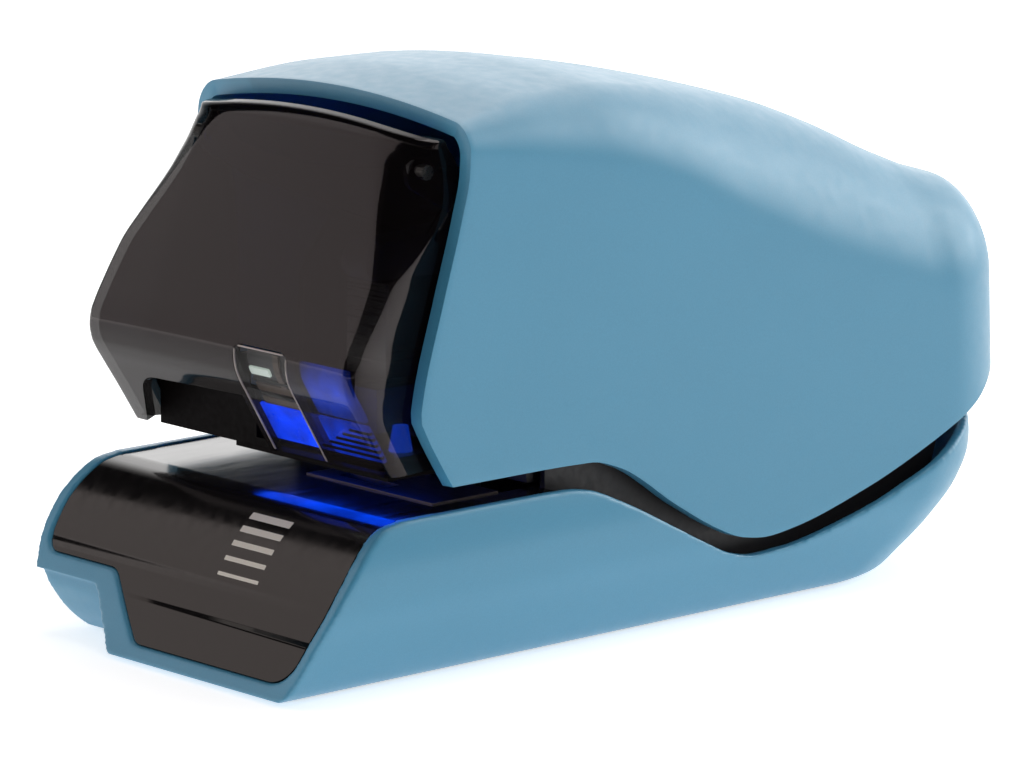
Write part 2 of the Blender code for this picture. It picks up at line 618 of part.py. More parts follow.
def stapling_head(kit, paints):
    """Head channel, cassette, driver, lever and the shafts that they turn on."""
    low, high = STAPLE_X - 13, STAPLE_X + 13
    channel = kit.box("head_frame", (low, -56, 46), (high, 15, 64), material=paints["zinc"])
    hollow = kit.box("head_hollow", (low + 1.5, -60, 47.5), (high - 1.5, 20, 70), cutter=True)
    slope = kit.plate("head_slope", "X", low - 5, high + 5, [[(-60, 66), (-60, 58.4), (-20, 58.4), (0, 66)]],
                      cutter=True)
    bore = kit.rod("head_bore", "X", low - 5, high + 5, HEAD_PIVOT, SHAFT_R + GAP, 20, cutter=True)
    cut(channel, hollow, slope, bore)
    kit.rod("head_pivot_shaft", "X", -40.4, 40.4, HEAD_PIVOT, SHAFT_R, 20, material=paints["steel"])
    kit.rod("lever_pivot_shaft", "X", -40.4, 40.4, LEVER_PIVOT, SHAFT_R, 20, material=paints["steel"])
    nose = kit.box("head_nose", (low + 1, -65, 42.8), (high - 1, -53, 45.7), material=paints["steel"])
    exit_slot = kit.box("staple_exit", (STAPLE_X - 7.2, STAPLE_Y - 1.2, 40),
                        (STAPLE_X + 7.2, STAPLE_Y + 1.2, 48), cutter=True)
    cut(nose, exit_slot)
    cassette = kit.box("staple_cassette", (low + 2.1, -66, 47.9), (high - 2.1, 2, 57),
                       material=paints["grey"])
    bay = kit.box("cassette_bay", (low + 3.6, -64.4, 49.4), (high - 3.6, 0.6, 62), cutter=True)
    cassette_slot = kit.box("cassette_slot", (STAPLE_X - 7, STAPLE_Y - 1.2, 40),
                            (STAPLE_X + 7, STAPLE_Y + 1.2, 60), cutter=True)
    cut(cassette, bay, cassette_slot)
    strip = kit.box("staple_strip", (STAPLE_X - 6.3, -57.4, 49.8), (STAPLE_X + 6.3, -14, 54.4),
                    material=paints["steel"])
    strip_inside = kit.box("strip_inside", (STAPLE_X - 5.7, -60, 49), (STAPLE_X + 5.7, -10, 53.8),
                           cutter=True)
    cut(strip, strip_inside)
    pusher = kit.box("strip_pusher", (STAPLE_X - 6.2, -13.6, 49.8), (STAPLE_X + 6.2, -7, 55.4),
                     material=paints["dark"])
    driver = kit.box("driver_blade", (STAPLE_X - 6.2, STAPLE_Y - 0.5, 57.8),
                     (STAPLE_X + 6.2, STAPLE_Y + 0.5, 77.6), material=paints["steel"])
    roller_at = (CAM_AXIS[0], CAM_AXIS[1] + CAM_R + 0.8 + ROLLER_R)
    beam = kit.plate("drive_lever", "X", STAPLE_X - 4, STAPLE_X + 4,
                     [rounded([(-63, 78), (-50, 78), (-4, 75.6), (30, 77), (37, 83), (40.5, 83), (40.5, 88),
                               (20, 88), (-4, 90), (-50, 86), (-63, 86)],
                              [3.9, 0, 4, 0, 0, 0, 2, 0, 6, 0, 3.9], 5),
                      circle(*LEVER_PIVOT, SHAFT_R + GAP, 20)], material=paints["zinc"])
    roller_gap = kit.rod("roller_gap", "X", STAPLE_X - 3.2, STAPLE_X + 3.2, roller_at, ROLLER_R + 0.6, 20,
                         cutter=True)
    cut(beam, roller_gap)
    roller = kit.rod("cam_roller", "X", STAPLE_X - 2.9, STAPLE_X + 2.9, roller_at, ROLLER_R, 20,
                     material=paints["steel"])
    return channel, nose, cassette, strip, pusher, driver, beam, roller


def head_surround(kit, paints):
    """Fixed black tray under the head, with the lamp at its front."""
    floor = kit.box("head_tray", (-36.5, -76, 42.6), (37.5, -39, 44.4), material=paints["dark"])
    lip = kit.box("tray_lip", (-36.5, -76, 43), (-4.5, -74.4, 55), cutter=True)
    side = kit.box("tray_side", (-36.5, -76, 43), (-34.9, -52.5, 55), cutter=True)
    wall = kit.box("tray_wall", (27.5, -76, 43), (37.5, -74.4, 47.2), cutter=True)
    fuse(floor, lip, side, wall)
    opening = kit.box("nose_opening", (-3.5, -66.5, 40), (26.5, -30, 50), cutter=True)
    cut(floor, opening)
    kit.box("lamp_board", (28.2, -72, 44.7), (36.2, -64, 45.9), material=paints["board"])
    kit.rod("lamp", "Z", 46.2, 51.5, (32.2, -68), 2.5, 16, radius_end=1.6, material=paints["lamp"])


def visor_skin():
    """Rows of the front cover's outside, from its lower edge up to its top."""
    rows = []
    bottom = VISOR_LEVELS[0][0]
    top = VISOR_LEVELS[-1][0]
    for z, front, half, across, along in VISOR_LEVELS:
        share = ((z - bottom) / (top - bottom)) ** 2
        rear = VISOR_REAR_Y[0] + (VISOR_REAR_Y[1] - VISOR_REAR_Y[0]) * share ** 2
        along = min(along, 0.7 * (rear - front))
        corner_y = front + along
        flare_y = smooth_value(MOUTH_LINE, z) - 1.5
        flare_y = min(max(flare_y, 0.8 * corner_y + 0.2 * rear), 0.2 * corner_y + 0.8 * rear)
        wide = half + smooth_value(VISOR_FLARE, z)
        side = [(half, rear), (half, flare_y)]
        for i in range(6):
            angle = math.pi / 2 * i / 5
            side.append((wide - across * (1 - math.cos(angle)), front + along * (1 - math.sin(angle))))
        side += [(side[-1][0] * 2 / 3, front), (side[-1][0] / 3, front)]
        loop = side + [(0.0, front)] + [(-x, y) for x, y in reversed(side)]
        rows.append([(x, y, z - VISOR_CROWN * share * (x / 40) ** 2) for x, y in loop])
    return rows


def visor(kit, paints):
    """Smoked front cover with its finger notch, and the clear window in it."""
    cover = kit.rings("visor_cover", visor_skin(), close_ends=False, ladder=True,
                      material=paints["smoke"])
    wall = cover.modifiers.new("wall", "SOLIDIFY")
    wall.thickness = VISOR_THICKNESS * MM
    wall.offset = -1
    wall.use_even_offset = True
    arch = rounded([(-45.5, 30), (STAPLE_X - 7, 30), (STAPLE_X - 7, 56.2), (-30.9, 55.2)],
                   [0, 0, 0, 6], 5)
    finger = kit.plate("finger_notch", "Y", -100, -60, [arch], cutter=True)
    pane_view = [(PANE_X[0] - GAP, 30), (PANE_X[1] + GAP, 30), (PANE_X[1] + GAP, PANE_TOP + GAP),
                 (PANE_X[0] - GAP, PANE_TOP + GAP)]
    pane_hole = kit.plate("window_hole", "Y", -100, -60, [pane_view], cutter=True)
    bosses = [kit.rod(f"hinge_boss_{side}", "X", low, high, VISOR_PIVOT, 4.0, 20, cutter=True)
              for side, low, high in (("left", -38.4, -34.2), ("right", 34.2, 38.4))]
    bores = [kit.rod(f"pin_bore_{side}", "X", low, high, VISOR_PIVOT, 1.9, 16, cutter=True)
             for side, low, high in (("left", -37.2, -30), ("right", 30, 37.2))]
    fuse(cover, *bosses)
    cut(cover, finger, pane_hole, *bores)
    profile = [(row[0], row[1]) for row in VISOR_LEVELS]
    path = [(smooth_value(profile, z) + 0.2, z)
            for z in (43.8, 47, 51, 55, 58, 60, 62.5, 64, 65.6, PANE_TOP)]
    back = offset_path(path, -1.6)
    window = kit.plate("visor_window", "X", *PANE_X, [path + list(reversed(back))],
                       material=paints["clear"])
    arm = rounded([(-67.1, 101), (-54, 93.5), (-12, 77), (2, 77), (2, 88), (-40, 95), (-50, 98.4),
                   (-57.2, 101.8), (-61.8, 106.6), (-67.1, 106.6)], [2.6, 0, 5, 5, 5, 0, 0, 0, 2, 2.6], 3)
    for side, low, high in (("left", -33.8, -32.3), ("right", 32.3, 33.8)):
        kit.plate(f"hinge_arm_{side}", "X", low, high,
                  [arm, circle(*LEVER_PIVOT, SHAFT_R + GAP, 20), circle(*VISOR_PIVOT, 1.6 + GAP, 16)],
                  material=paints["zinc"])
    for side, low, high in (("left", -36.9, -31.2), ("right", 31.2, 36.9)):
        kit.rod(f"visor_pin_{side}", "X", low, high, VISOR_PIVOT, 1.6, 16, material=paints["steel"])
    return cover, window


def small_movers(kit, paints):
    """Clincher, paper trigger and power switch."""
    clincher = kit.box("clincher", (STAPLE_X - 7.6, STAPLE_Y - 1.3, 28),
                       (STAPLE_X + 7.6, STAPLE_Y + 1.3, 33.2),
                       material=paints["steel"])
    trigger = kit.plate("paper_trigger", "X", STAPLE_X - 1.4, STAPLE_X + 1.4,
                        [rounded([(-43.6, 41), (-42, 41), (-40, 31), (-31, 29), (-31, 26), (-43, 26)],
                                 [0.7, 0.7, 2, 0, 0, 3], 3)], material=paints["dark"])
    knob = kit.box("power_switch", (9.0, 85.0, 17.5), (15.0, 90.5, 23.5), material=paints["dark"])
    return clincher, trigger, knob


def build():
    fresh_scene()
    kit = Kit(new_collection("electric_stapler"), new_collection("cutters"))
    paints = {
        "blue": surface("satin_blue", (0.10, 0.30, 0.45), 0.42),
        "gloss": surface("gloss_black", (0.012, 0.011, 0.012), 0.08),
        "smoke": surface("smoked_plastic", (0.015, 0.012, 0.012), 0.05, alpha=0.9),
        "clear": surface("clear_plastic", (0.35, 0.33, 0.31), 0.05, alpha=0.4),
        "dark": surface("black_plastic", (0.02, 0.018, 0.018), 0.5),
        "rubber": surface("rubber", (0.02, 0.02, 0.02), 0.8),
        "steel": surface("steel", (0.56, 0.55, 0.53), 0.3, 1.0),
        "zinc": surface("zinc_plate", (0.45, 0.45, 0.46), 0.42, 1.0),
        "brass": surface("brass", (0.70, 0.50, 0.22), 0.3, 1.0),
        "white": surface("white_nylon", (0.75, 0.74, 0.70), 0.45),
        "grey": surface("grey_plastic", (0.20, 0.20, 0.21), 0.4),
        "board": surface("circuit_green", (0.02, 0.12, 0.05), 0.4),
        "lamp": surface("lamp_blue", (0.05, 0.15, 0.9), 0.2),
    }
    upper_housing(kit, paints["blue"])
    base_shell(kit, paints["blue"])
    front_panel(kit, paints["gloss"])
    base_fittings(kit, paints)
    side_frames(kit, paints["dark"])
    head_surround(kit, paints)
    shaft, cam_gear, cam, idler, pinion, motor_shaft = drive_train(kit, paints)
    channel, nose, cassette, strip, pusher, driver, beam, roller = stapling_head(kit, paints)
    cover, window = visor(kit, paints)
    clincher, trigger, knob = small_movers(kit, paints)
    parts = kit.parts
    hang("visor_hinge", (0, *VISOR_PIVOT), parts, [cover, window])
    hang("cam_axis", (0, *CAM_AXIS), parts, [shaft, cam_gear, cam])
    hang("idler_axis", (0, *idler_axis()), parts, [idler])
    hang("motor_axis", (0, *motor_axis()), parts, [pinion, motor_shaft])
    hang("head_axis", (0, *HEAD_PIVOT), parts, [channel, nose, cassette, strip, pusher, driver])
    hang("lever_axis", (0, *LEVER_PIVOT), parts, [beam, roller])
    hang("trigger_axis", (0, -33, 27.5), parts, [trigger])
    hang("clincher_slide", (STAPLE_X, STAPLE_Y, 33), parts, [clincher])
    hang("switch_slide", (12, 88, 20.5), parts, [knob])


build()
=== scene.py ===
"""Looks of the cassette electric stapler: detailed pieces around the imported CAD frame.

The shapes below are in millimetres and become metres when a mesh is made.
"""
import json
import math

import bmesh
import bpy
from mathutils import Matrix, Vector


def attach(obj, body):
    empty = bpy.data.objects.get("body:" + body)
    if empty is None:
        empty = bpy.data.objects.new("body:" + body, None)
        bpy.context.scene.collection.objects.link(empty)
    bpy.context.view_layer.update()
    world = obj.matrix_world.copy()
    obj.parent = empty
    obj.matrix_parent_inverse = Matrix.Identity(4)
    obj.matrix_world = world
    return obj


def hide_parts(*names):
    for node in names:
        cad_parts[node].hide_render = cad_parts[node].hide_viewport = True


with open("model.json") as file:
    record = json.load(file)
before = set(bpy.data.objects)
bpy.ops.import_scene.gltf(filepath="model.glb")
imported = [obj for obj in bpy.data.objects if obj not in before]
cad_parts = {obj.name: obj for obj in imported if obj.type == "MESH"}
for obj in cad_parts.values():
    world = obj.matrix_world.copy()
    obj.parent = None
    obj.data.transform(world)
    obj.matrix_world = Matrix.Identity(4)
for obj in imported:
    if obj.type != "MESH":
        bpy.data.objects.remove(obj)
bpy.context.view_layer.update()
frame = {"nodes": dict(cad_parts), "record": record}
nodes = frame["nodes"]

MM = 0.001

# ------------------------------------------------------------------ camera
CAMERA_AT = Vector((0.9430, -0.8517, 0.3024))
CAMERA_AXES = ((0.6665, 0.7455, 0.0), (-0.1474, 0.1318, 0.9803), (0.7308, -0.6534, 0.1977))
camera_data = bpy.data.cameras.new("camera")
camera = bpy.data.objects.new("camera", camera_data)
bpy.context.scene.collection.objects.link(camera)
camera_data.sensor_width = 36.0
camera_data.lens = 210.94
camera_data.clip_start = 0.05
camera_data.clip_end = 30.0
camera.matrix_world = Matrix.Translation(CAMERA_AT) @ Matrix(CAMERA_AXES).transposed().to_4x4()
bpy.context.scene.camera = camera

# ------------------------------------------------------------------ dimensions shared with the CAD
REAR_Y = 107.5
FRONT_Y = -107.5
SEAM_Z = 38.0
WALL = 3.3
HOUSING_HALF_WIDTH = 46.7
HOUSING_DRAFT = 0.04
HOUSING_REAR_RADIUS = 27.0
TAIL_RADIUS = 14.8
CROWN_LINE = [(-60, 117.3), (-36, 119.5), (-20, 119.4), (1, 116.6), (22, 112.3),
              (44, 106.4), (60, 100.3), (77, 92.4), (89, 87.6), (98, 85.6), (108, 84.4)]
SHOULDER_RADIUS = [(-60, 5), (-40, 10), (-16, 14), (1, 17), (25, 24), (50, 28), (75, 26),
                   (92, 19), (108, 14)]
CROWN_SAG = [(-60, 4.3), (50, 4.6), (80, 3.6), (108, 2.0)]
HOUSING_EDGE = [(-68, 40.6), (-40, 40.6), (-27, 40.3), (-20, 38.2), (-4, 27.7), (8, 20.8),
                (15, 18.0), (22, 17.1), (30, 17.9), (52, 23.2), (72, 30.2), (88, 37.4),
                (100, 44.0), (108, 47.0)]
MOUTH_LINE = [(40.6, -66.3), (46, -69.6), (52, -72.9), (55.5, -74.3), (60, -73.5), (79, -67.3),
              (95, -61.8), (104, -59.3), (111, -58.8), (118, -58.6)]
BASE_WALL = 2.6
BASE_BOTTOM = 0.8
BASE_REAR_RADIUS = 27.0
BASE_HALF_WIDTH = [(0.8, 39.5), (2.0, 41.6), (5, 43.6), (13, 46.6), (20, 48.8), (26, 49.3),
                   (31, 48.6), (36, 47.2)]
BASE_REAR = [(0.8, 76.0), (2.0, 78.3), (5, 81.0), (12, 88.5), (20, 94.4), (26, 97.4),
             (31, 98.6), (36, 99.0)]
BASE_EDGE = [(-60, 35.6), (-36, 35.5), (-29, 34.6), (-22, 31.8), (-6, 23.6), (5, 18.0),
             (13, 14.6), (20, 13.3), (28, 13.6), (50, 18.3), (70, 25.4), (84, 31.4), (104, 38.0)]
NOSE_SLOPE = [(-80.0, 35.6), (-85.2, 34.7), (-88.8, 32.6), (-92.6, 29.2), (-96.0, 24.9),
              (-99.4, 19.5), (-103.4, 11.0), (-106.0, 4.5), (FRONT_Y, 0.8)]
NOTCH_TOP = 13.4
TONGUE_TOP_X = -26.0
TONGUE_FOOT_X = -14.0
RIM = 3.2
PANEL_RECESS = 0.5
PANEL_THICKNESS = 2.0
PANEL_REAR_Y = -36.0
STAPLE_X = 11.5
VISOR_THICKNESS = 2.0
VISOR_REAR_Y = (-52.0, -60.5)   # rear edge at the bottom and at the top
# level, front face Y, half width, corner size across, corner size along
VISOR_LEVELS = [
    (43.5, -79.6, 41.2, 2.6, 3.0), (51.0, -84.0, 41.3, 2.6, 3.0),
    (57.0, -87.53, 41.4, 2.4, 2.8), (60.0, -89.3, 41.4, 2.4, 2.6),
    (62.5, -90.37, 41.3, 2.4, 2.6), (65.6, -90.82, 41.2, 2.4, 2.6),
    (68.2, -90.5, 41.1, 2.4, 2.6), (70.7, -89.57, 41.0, 2.4, 2.8),
    (76.0, -86.81, 40.9, 2.4, 3.2), (83.0, -83.16, 40.7, 2.4, 3.8),
    (90.0, -79.5, 40.4, 4.4, 8.5), (96.0, -76.37, 40.0, 7.0, 12.0),
    (102.0, -73.24, 39.6, 9.5, 14.0), (106.0, -71.15, 39.0, 11.5, 14.0),
    (109.5, -69.3, 38.3, 13.0, 13.0), (111.8, -67.85, 37.6, 15.0, 10.0),
    (113.0, -66.5, 37.7, 15.5, 8.0), (113.5, -64.8, 37.0, 18.0, 6.0)]
# how far the flanks stand out in front of the mouth
VISOR_FLARE = [(43.5, 0.8), (51, 1.2), (58, 1.6), (65, 2.0), (75, 2.0), (85, 1.4), (92, 0.8),
               (98, 0.4), (104, 0.1), (108, 0.0)]
VISOR_CROWN = 3.6
PANE_X = (6.3, 23.1)
PANE_TOP = 67.7
VISOR_BOTTOM = VISOR_LEVELS[0][0]
VISOR_TOP = VISOR_LEVELS[-1][0]
WINDOW_GAP = 0.3
GUIDE_LEFT, GUIDE_SPLIT, GUIDE_RIGHT = 4.6, 23.4, 38.9   # the light guide's sides and the pane's edge
GUIDE_LEVELS = (44.6, 52.6)
BAR_LEFT, BAR_LENGTH, BAR_STEP = 9.3, 13.0, 3.5
BAR_THICKNESS, BAR_TAPER = 1.75, 0.24


# ------------------------------------------------------------------ curves and meshes
def smooth_value(points, at):
    """Value of the smooth curve through (position, value) points."""
    if at <= points[0][0]:
        return points[0][1]
    if at >= points[-1][0]:
        return points[-1][1]
    slopes = [(b[1] - a[1]) / (b[0] - a[0]) for a, b in zip(points, points[1:])]
    tangents = [slopes[0]]
    for before, after in zip(slopes, slopes[1:]):
        same_way = before * after > 0
        tangents.append(2 * before * after / (before + after) if same_way else 0.0)
    tangents.append(slopes[-1])
    for index, (left, right) in enumerate(zip(points, points[1:])):
        if at <= right[0]:
            break
    span = right[0] - left[0]
    t = (at - left[0]) / span
    rise = (2 * t ** 3 - 3 * t ** 2 + 1) * left[1] + (3 * t ** 2 - 2 * t ** 3) * right[1]
    lean = (t ** 3 - 2 * t ** 2 + t) * tangents[index] + (t ** 3 - t ** 2) * tangents[index + 1]
    return rise + lean * span


def steps(start, stop, count):
    return [start + (stop - start) * i / (count - 1) for i in range(count)]


def offset_path(points, distance):
    """The open path moved to its left side by a distance."""
    moved = []
    for i, point in enumerate(points):
        before = Vector(points[max(i - 1, 0)])
        after = Vector(points[min(i + 1, len(points) - 1)])
        along = (after - before).normalized()
        moved.append((point[0] - along.y * distance, point[1] + along.x * distance))
    return moved


def rounded(points, radii, segments=12):
    """Closed outline with an arc at each corner that has a radius."""
    outline = []
    for i, radius in enumerate(radii):
        corner = Vector(points[i])
        if radius == 0:
            outline.append(tuple(corner))
            continue
        back = (Vector(points[i - 1]) - corner).normalized()
        ahead = (Vector(points[(i + 1) % len(points)]) - corner).normalized()
        half = back.angle(ahead) / 2
        middle = (back + ahead).normalized()
        centre = corner + middle * radius / math.sin(half)
        sweep = math.pi / 2 - half
        side = Vector((-middle.y, middle.x))
        if side.dot(back) < 0:
            side = -side
        for step in range(segments + 1):
            angle = sweep * (1 - 2 * step / segments)
            outline.append(tuple(centre - middle * radius * math.cos(angle)
                                 + side * radius * math.sin(angle)))
    return outline


def circle(across, up, radius, count=48):
    return [(across + radius * math.cos(2 * math.pi * i / count),
             up + radius * math.sin(2 * math.pi * i / count)) for i in range(count)]


def smooth_path(points, per_span=8):
    """More points on a smooth curve through 2D points (Catmull-Rom)."""
    out = []
    for i in range(len(points) - 1):
        p0 = Vector(points[max(i - 1, 0)])
        p1 = Vector(points[i])
        p2 = Vector(points[i + 1])
        p3 = Vector(points[min(i + 2, len(points) - 1)])
        for k in range(per_span):
            t = k / per_span
            square = (2 * p0 - 5 * p1 + 4 * p2 - p3) * t ** 2
            cube = (3 * p1 - p0 - 3 * p2 + p3) * t ** 3
            out.append(tuple(0.5 * (2 * p1 + (p2 - p0) * t + square + cube)))
    out.append(tuple(points[-1]))
    return out


def new_object(name, mesh, material=None, sharp=35):
    thing = bpy.data.objects.new(name, mesh)
    bpy.context.scene.collection.objects.link(thing)
    if material:
        mesh.materials.clear()
        mesh.materials.append(material)
    mesh.shade_smooth()
    if sharp:
        mesh.set_sharp_from_angle(angle=math.radians(sharp))
    return thing


def finish_shape(name, shape, material=None, sharp=35):
    """An object from a bmesh in millimetres, with its faces turned outwards."""
    bmesh.ops.recalc_face_normals(shape, faces=shape.faces)
    if shape.calc_volume(signed=True) < 0:
        bmesh.ops.reverse_faces(shape, faces=shape.faces)
    bmesh.ops.scale(shape, vec=(MM, MM, MM), verts=shape.verts)
    mesh = bpy.data.meshes.new(name)
    shape.to_mesh(mesh)
    shape.free()
    return new_object(name, mesh, material, sharp)


def box(name, low, high, material=None, bevel=0.0, segments=3):
    shape = bmesh.new()
    bmesh.ops.create_cube(shape, size=1.0)
    size = Vector(high) - Vector(low)
    bmesh.ops.scale(shape, vec=size, verts=shape.verts)
    bmesh.ops.translate(shape, vec=(Vector(low) + Vector(high)) / 2, verts=shape.verts)
    if bevel:
        bmesh.ops.bevel(shape, geom=shape.edges[:], offset=bevel, segments=segments, profile=0.5,
                        affect="EDGES", clamp_overlap=True)
    return finish_shape(name, shape, material)


TURNS = {"X": lambda a, b, t: (t, a, b),
         "Y": lambda a, b, t: (a, t, b),
         "Z": lambda a, b, t: (a, b, t)}


def plate(name, axis, low, high, outline, material=None, bevel=0.0, segments=3, sharp=35):
    """A flat outline thickened along an axis letter; points are (Y, Z), (X, Z) or (X, Y)."""
    shape = bmesh.new()
    turn = TURNS[axis]
    bottom = [shape.verts.new(turn(a, b, low)) for a, b in outline]
    top = [shape.verts.new(turn(a, b, high)) for a, b in outline]
    count = len(outline)
    caps = [shape.faces.new(bottom), shape.faces.new(top)]
    for i in range(count):
        j = (i + 1) % count
        shape.faces.new((bottom[i], bottom[j], top[j], top[i]))
    if bevel:
        rims = {edge for cap in caps for edge in cap.edges}
        bmesh.ops.bevel(shape, geom=list(rims), offset=bevel, segments=segments, profile=0.5,
                        affect="EDGES", clamp_overlap=True)
    return finish_shape(name, shape, material, sharp)


def rings(name, loops, closed=True, caps=True, ladder=False, material=None, sharp=35):
    """A skin through rows of points; a ladder closes the last row across."""
    shape = bmesh.new()
    rows = [[shape.verts.new(point) for point in loop] for loop in loops]
    count = len(rows[0])
    for lower, upper in zip(rows, rows[1:]):
        for i in range(count if closed else count - 1):
            j = (i + 1) % count
            shape.faces.new((lower[i], lower[j], upper[j], upper[i]))
    if caps:
        shape.faces.new(rows[0])
        shape.faces.new(rows[-1])
    if ladder:
        final = rows[-1]
        for i in range(count // 2):
            corners = list(dict.fromkeys((final[i], final[i + 1], final[-2 - i], final[-1 - i])))
            if len(corners) > 2:
                shape.faces.new(corners)
    return finish_shape(name, shape, material, sharp)


def apply_all(thing, sharp=35):
    """Bakes the modifiers into the mesh."""
    bpy.context.view_layer.update()
    evaluated = thing.evaluated_get(bpy.context.evaluated_depsgraph_get())
    mesh = bpy.data.meshes.new_from_object(evaluated)
    thing.modifiers.clear()
    thing.data = mesh
    mesh.shade_smooth()
    if sharp:
        mesh.set_sharp_from_angle(angle=math.radians(sharp))
    return thing


def boolean(thing, other, operation="DIFFERENCE"):
    """Cuts, joins or keeps the common part, and removes the other object."""
    step = thing.modifiers.new("boolean", "BOOLEAN")
    step.operation = operation
    step.solver = "EXACT"
    step.object = other
    apply_all(thing)
    bpy.data.objects.remove(other, do_unlink=True)
    return thing


def solidify(thing, thickness):
    step = thing.modifiers.new("wall", "SOLIDIFY")
    step.thickness = thickness * MM
    step.offset = -1
    step.use_even_offset = True
    return step


def soften(thing, width, segments=3, angle=40):
    step = thing.modifiers.new("soften", "BEVEL")
    step.width = width * MM
    step.segments = segments
    step.limit_method = "ANGLE"
    step.angle_limit = math.radians(angle)
    step.harden_normals = False
    return step


# ------------------------------------------------------------------ materials
class Paint:
    """Builds one procedural material from noise layers."""

    def __init__(self, name, colour, roughness, metallic=0.0, **sockets):
        self.material = bpy.data.materials.new(name)
        self.material.use_nodes = True
        self.tree = self.material.node_tree
        self.shader = self.tree.nodes["Principled BSDF"]
        self.base = (*colour, 1.0)
        self.shader.inputs["Base Color"].default_value = self.base
        self.shader.inputs["Roughness"].default_value = roughness
        self.shader.inputs["Metallic"].default_value = metallic
        self.roughness = roughness
        for key, value in sockets.items():
            self.shader.inputs[key.replace("_", " ")].default_value = value
        self.coordinates = self.tree.nodes.new("ShaderNodeTexCoord").outputs["Object"]

    def node(self, kind, **values):
        made = self.tree.nodes.new(kind)
        for key, value in values.items():
            setattr(made, key, value)
        return made

    def link(self, source, target):
        self.tree.links.new(source, target)

    def noise(self, per_mm, detail=3.0, stretch=None, roughness=0.5):
        texture = self.node("ShaderNodeTexNoise")
        texture.inputs["Scale"].default_value = per_mm / MM
        texture.inputs["Detail"].default_value = detail
        texture.inputs["Roughness"].default_value = roughness
        if stretch:
            mapping = self.node("ShaderNodeMapping")
            mapping.inputs["Scale"].default_value = stretch
            self.link(self.coordinates, mapping.inputs["Vector"])
            self.link(mapping.outputs["Vector"], texture.inputs["Vector"])
        else:
            self.link(self.coordinates, texture.inputs["Vector"])
        return texture.outputs["Fac"]

    def spread(self, source, low, high, from_low=0.3, from_high=0.7):
        """Maps a factor onto a range."""
        made = self.node("ShaderNodeMapRange")
        made.inputs["From Min"].default_value = from_low
        made.inputs["From Max"].default_value = from_high
        made.inputs["To Min"].default_value = low
        made.inputs["To Max"].default_value = high
        self.link(source, made.inputs["Value"])
        return made.outputs["Result"]

    def blend(self, factor, first, second):
        made = self.node("ShaderNodeMix", data_type="RGBA")
        for socket, value in ((made.inputs[6], first), (made.inputs[7], second)):
            if isinstance(value, tuple):
                socket.default_value = (*value[:3], 1.0)
            else:
                self.link(value, socket)
        self.link(factor, made.inputs[0])
        return made.outputs[2]

    def colour(self, source):
        self.link(source, self.shader.inputs["Base Color"])

    def rough(self, source):
        self.link(source, self.shader.inputs["Roughness"])

    def bump(self, *layers):
        """Each layer is (height factor, strength, distance in millimetres)."""
        normal = None
        for height, strength, distance in layers:
            made = self.node("ShaderNodeBump")
            made.inputs["Strength"].default_value = strength
            made.inputs["Distance"].default_value = distance * MM
            self.link(height, made.inputs["Height"])
            if normal:
                self.link(normal, made.inputs["Normal"])
            normal = made.outputs["Normal"]
        self.link(normal, self.shader.inputs["Normal"])

    def edge_factor(self, low=0.52, high=0.62):
        """Zero on flat areas, one on sharp outer edges."""
        geometry = self.node("ShaderNodeNewGeometry")
        return self.spread(geometry.outputs["Pointiness"], 0.0, 1.0, low, high)


def tint(colour, share):
    return tuple(min(1.0, c * share) for c in colour)


def satin_paint():
    """Painted plastic with a fine grain, a little soft unevenness and lighter edges that are a
    painted highlight.
    """
    base = (0.062, 0.258, 0.405)
    p = Paint("satin_blue", base, 0.42, Specular_IOR_Level=0.5, IOR=1.5, Coat_Weight=0.25,
              Coat_Roughness=0.30)
    patches = p.noise(0.03, 2.0)
    cloudy = p.blend(p.spread(patches, 0.0, 1.0), tint(base, 0.97), tint(base, 1.03))
    grain = p.spread(p.noise(3.2, 2.0), 0.0, 1.0, 0.35, 0.65)
    speck = p.blend(grain, tint(base, 0.94), tint(base, 1.06))
    mixed = p.node("ShaderNodeMix", data_type="RGBA")
    mixed.inputs[0].default_value = 0.5
    p.link(cloudy, mixed.inputs[6])
    p.link(speck, mixed.inputs[7])
    # lighter outer edges, such as the mouth's rim and lip: a painted highlight
    edge_highlight = p.blend(p.edge_factor(0.54, 0.68), mixed.outputs[2], tint(base, 1.22))
    p.colour(edge_highlight)
    p.rough(p.spread(p.noise(0.35, 4.0), 0.36, 0.46))
    p.bump((p.noise(2.6, 2.0), 0.16, 0.05), (p.noise(0.7, 2.0), 0.05, 0.06))
    return p.material


def gloss_paint(name, base, low, high, haze=0.35, **sockets):
    """Polished dark plastic with faint dust and hairline marks."""
    p = Paint(name, base, low, **sockets)
    dust = p.spread(p.noise(0.9, 6.0, roughness=0.75), 0.0, 1.0, 0.60, 0.85)
    p.colour(p.blend(dust, base, tuple(c + 0.012 * haze for c in base)))
    marks = p.noise(0.5, 4.0, stretch=(1.0, 0.12, 1.0))
    p.rough(p.spread(marks, low, high))
    p.bump((p.noise(0.045, 1.0), 0.02, 0.4), (p.noise(4.5, 2.0), 0.012, 0.02))
    return p.material


def moulded(name, base, roughness, grain=1.6, depth=0.05, **sockets):
    """Fine-textured moulded plastic or rubber."""
    p = Paint(name, base, roughness, **sockets)
    clouds = p.spread(p.noise(0.12, 3.0), 0.0, 1.0)
    body = p.blend(clouds, tint(base, 0.88), tint(base, 1.14))
    p.colour(p.blend(p.edge_factor(), body, tint(base, 1.8)))
    p.rough(p.spread(p.noise(0.8, 3.0), roughness - 0.06, roughness + 0.08))
    p.bump((p.noise(grain, 3.0), 0.25, depth))
    return p.material


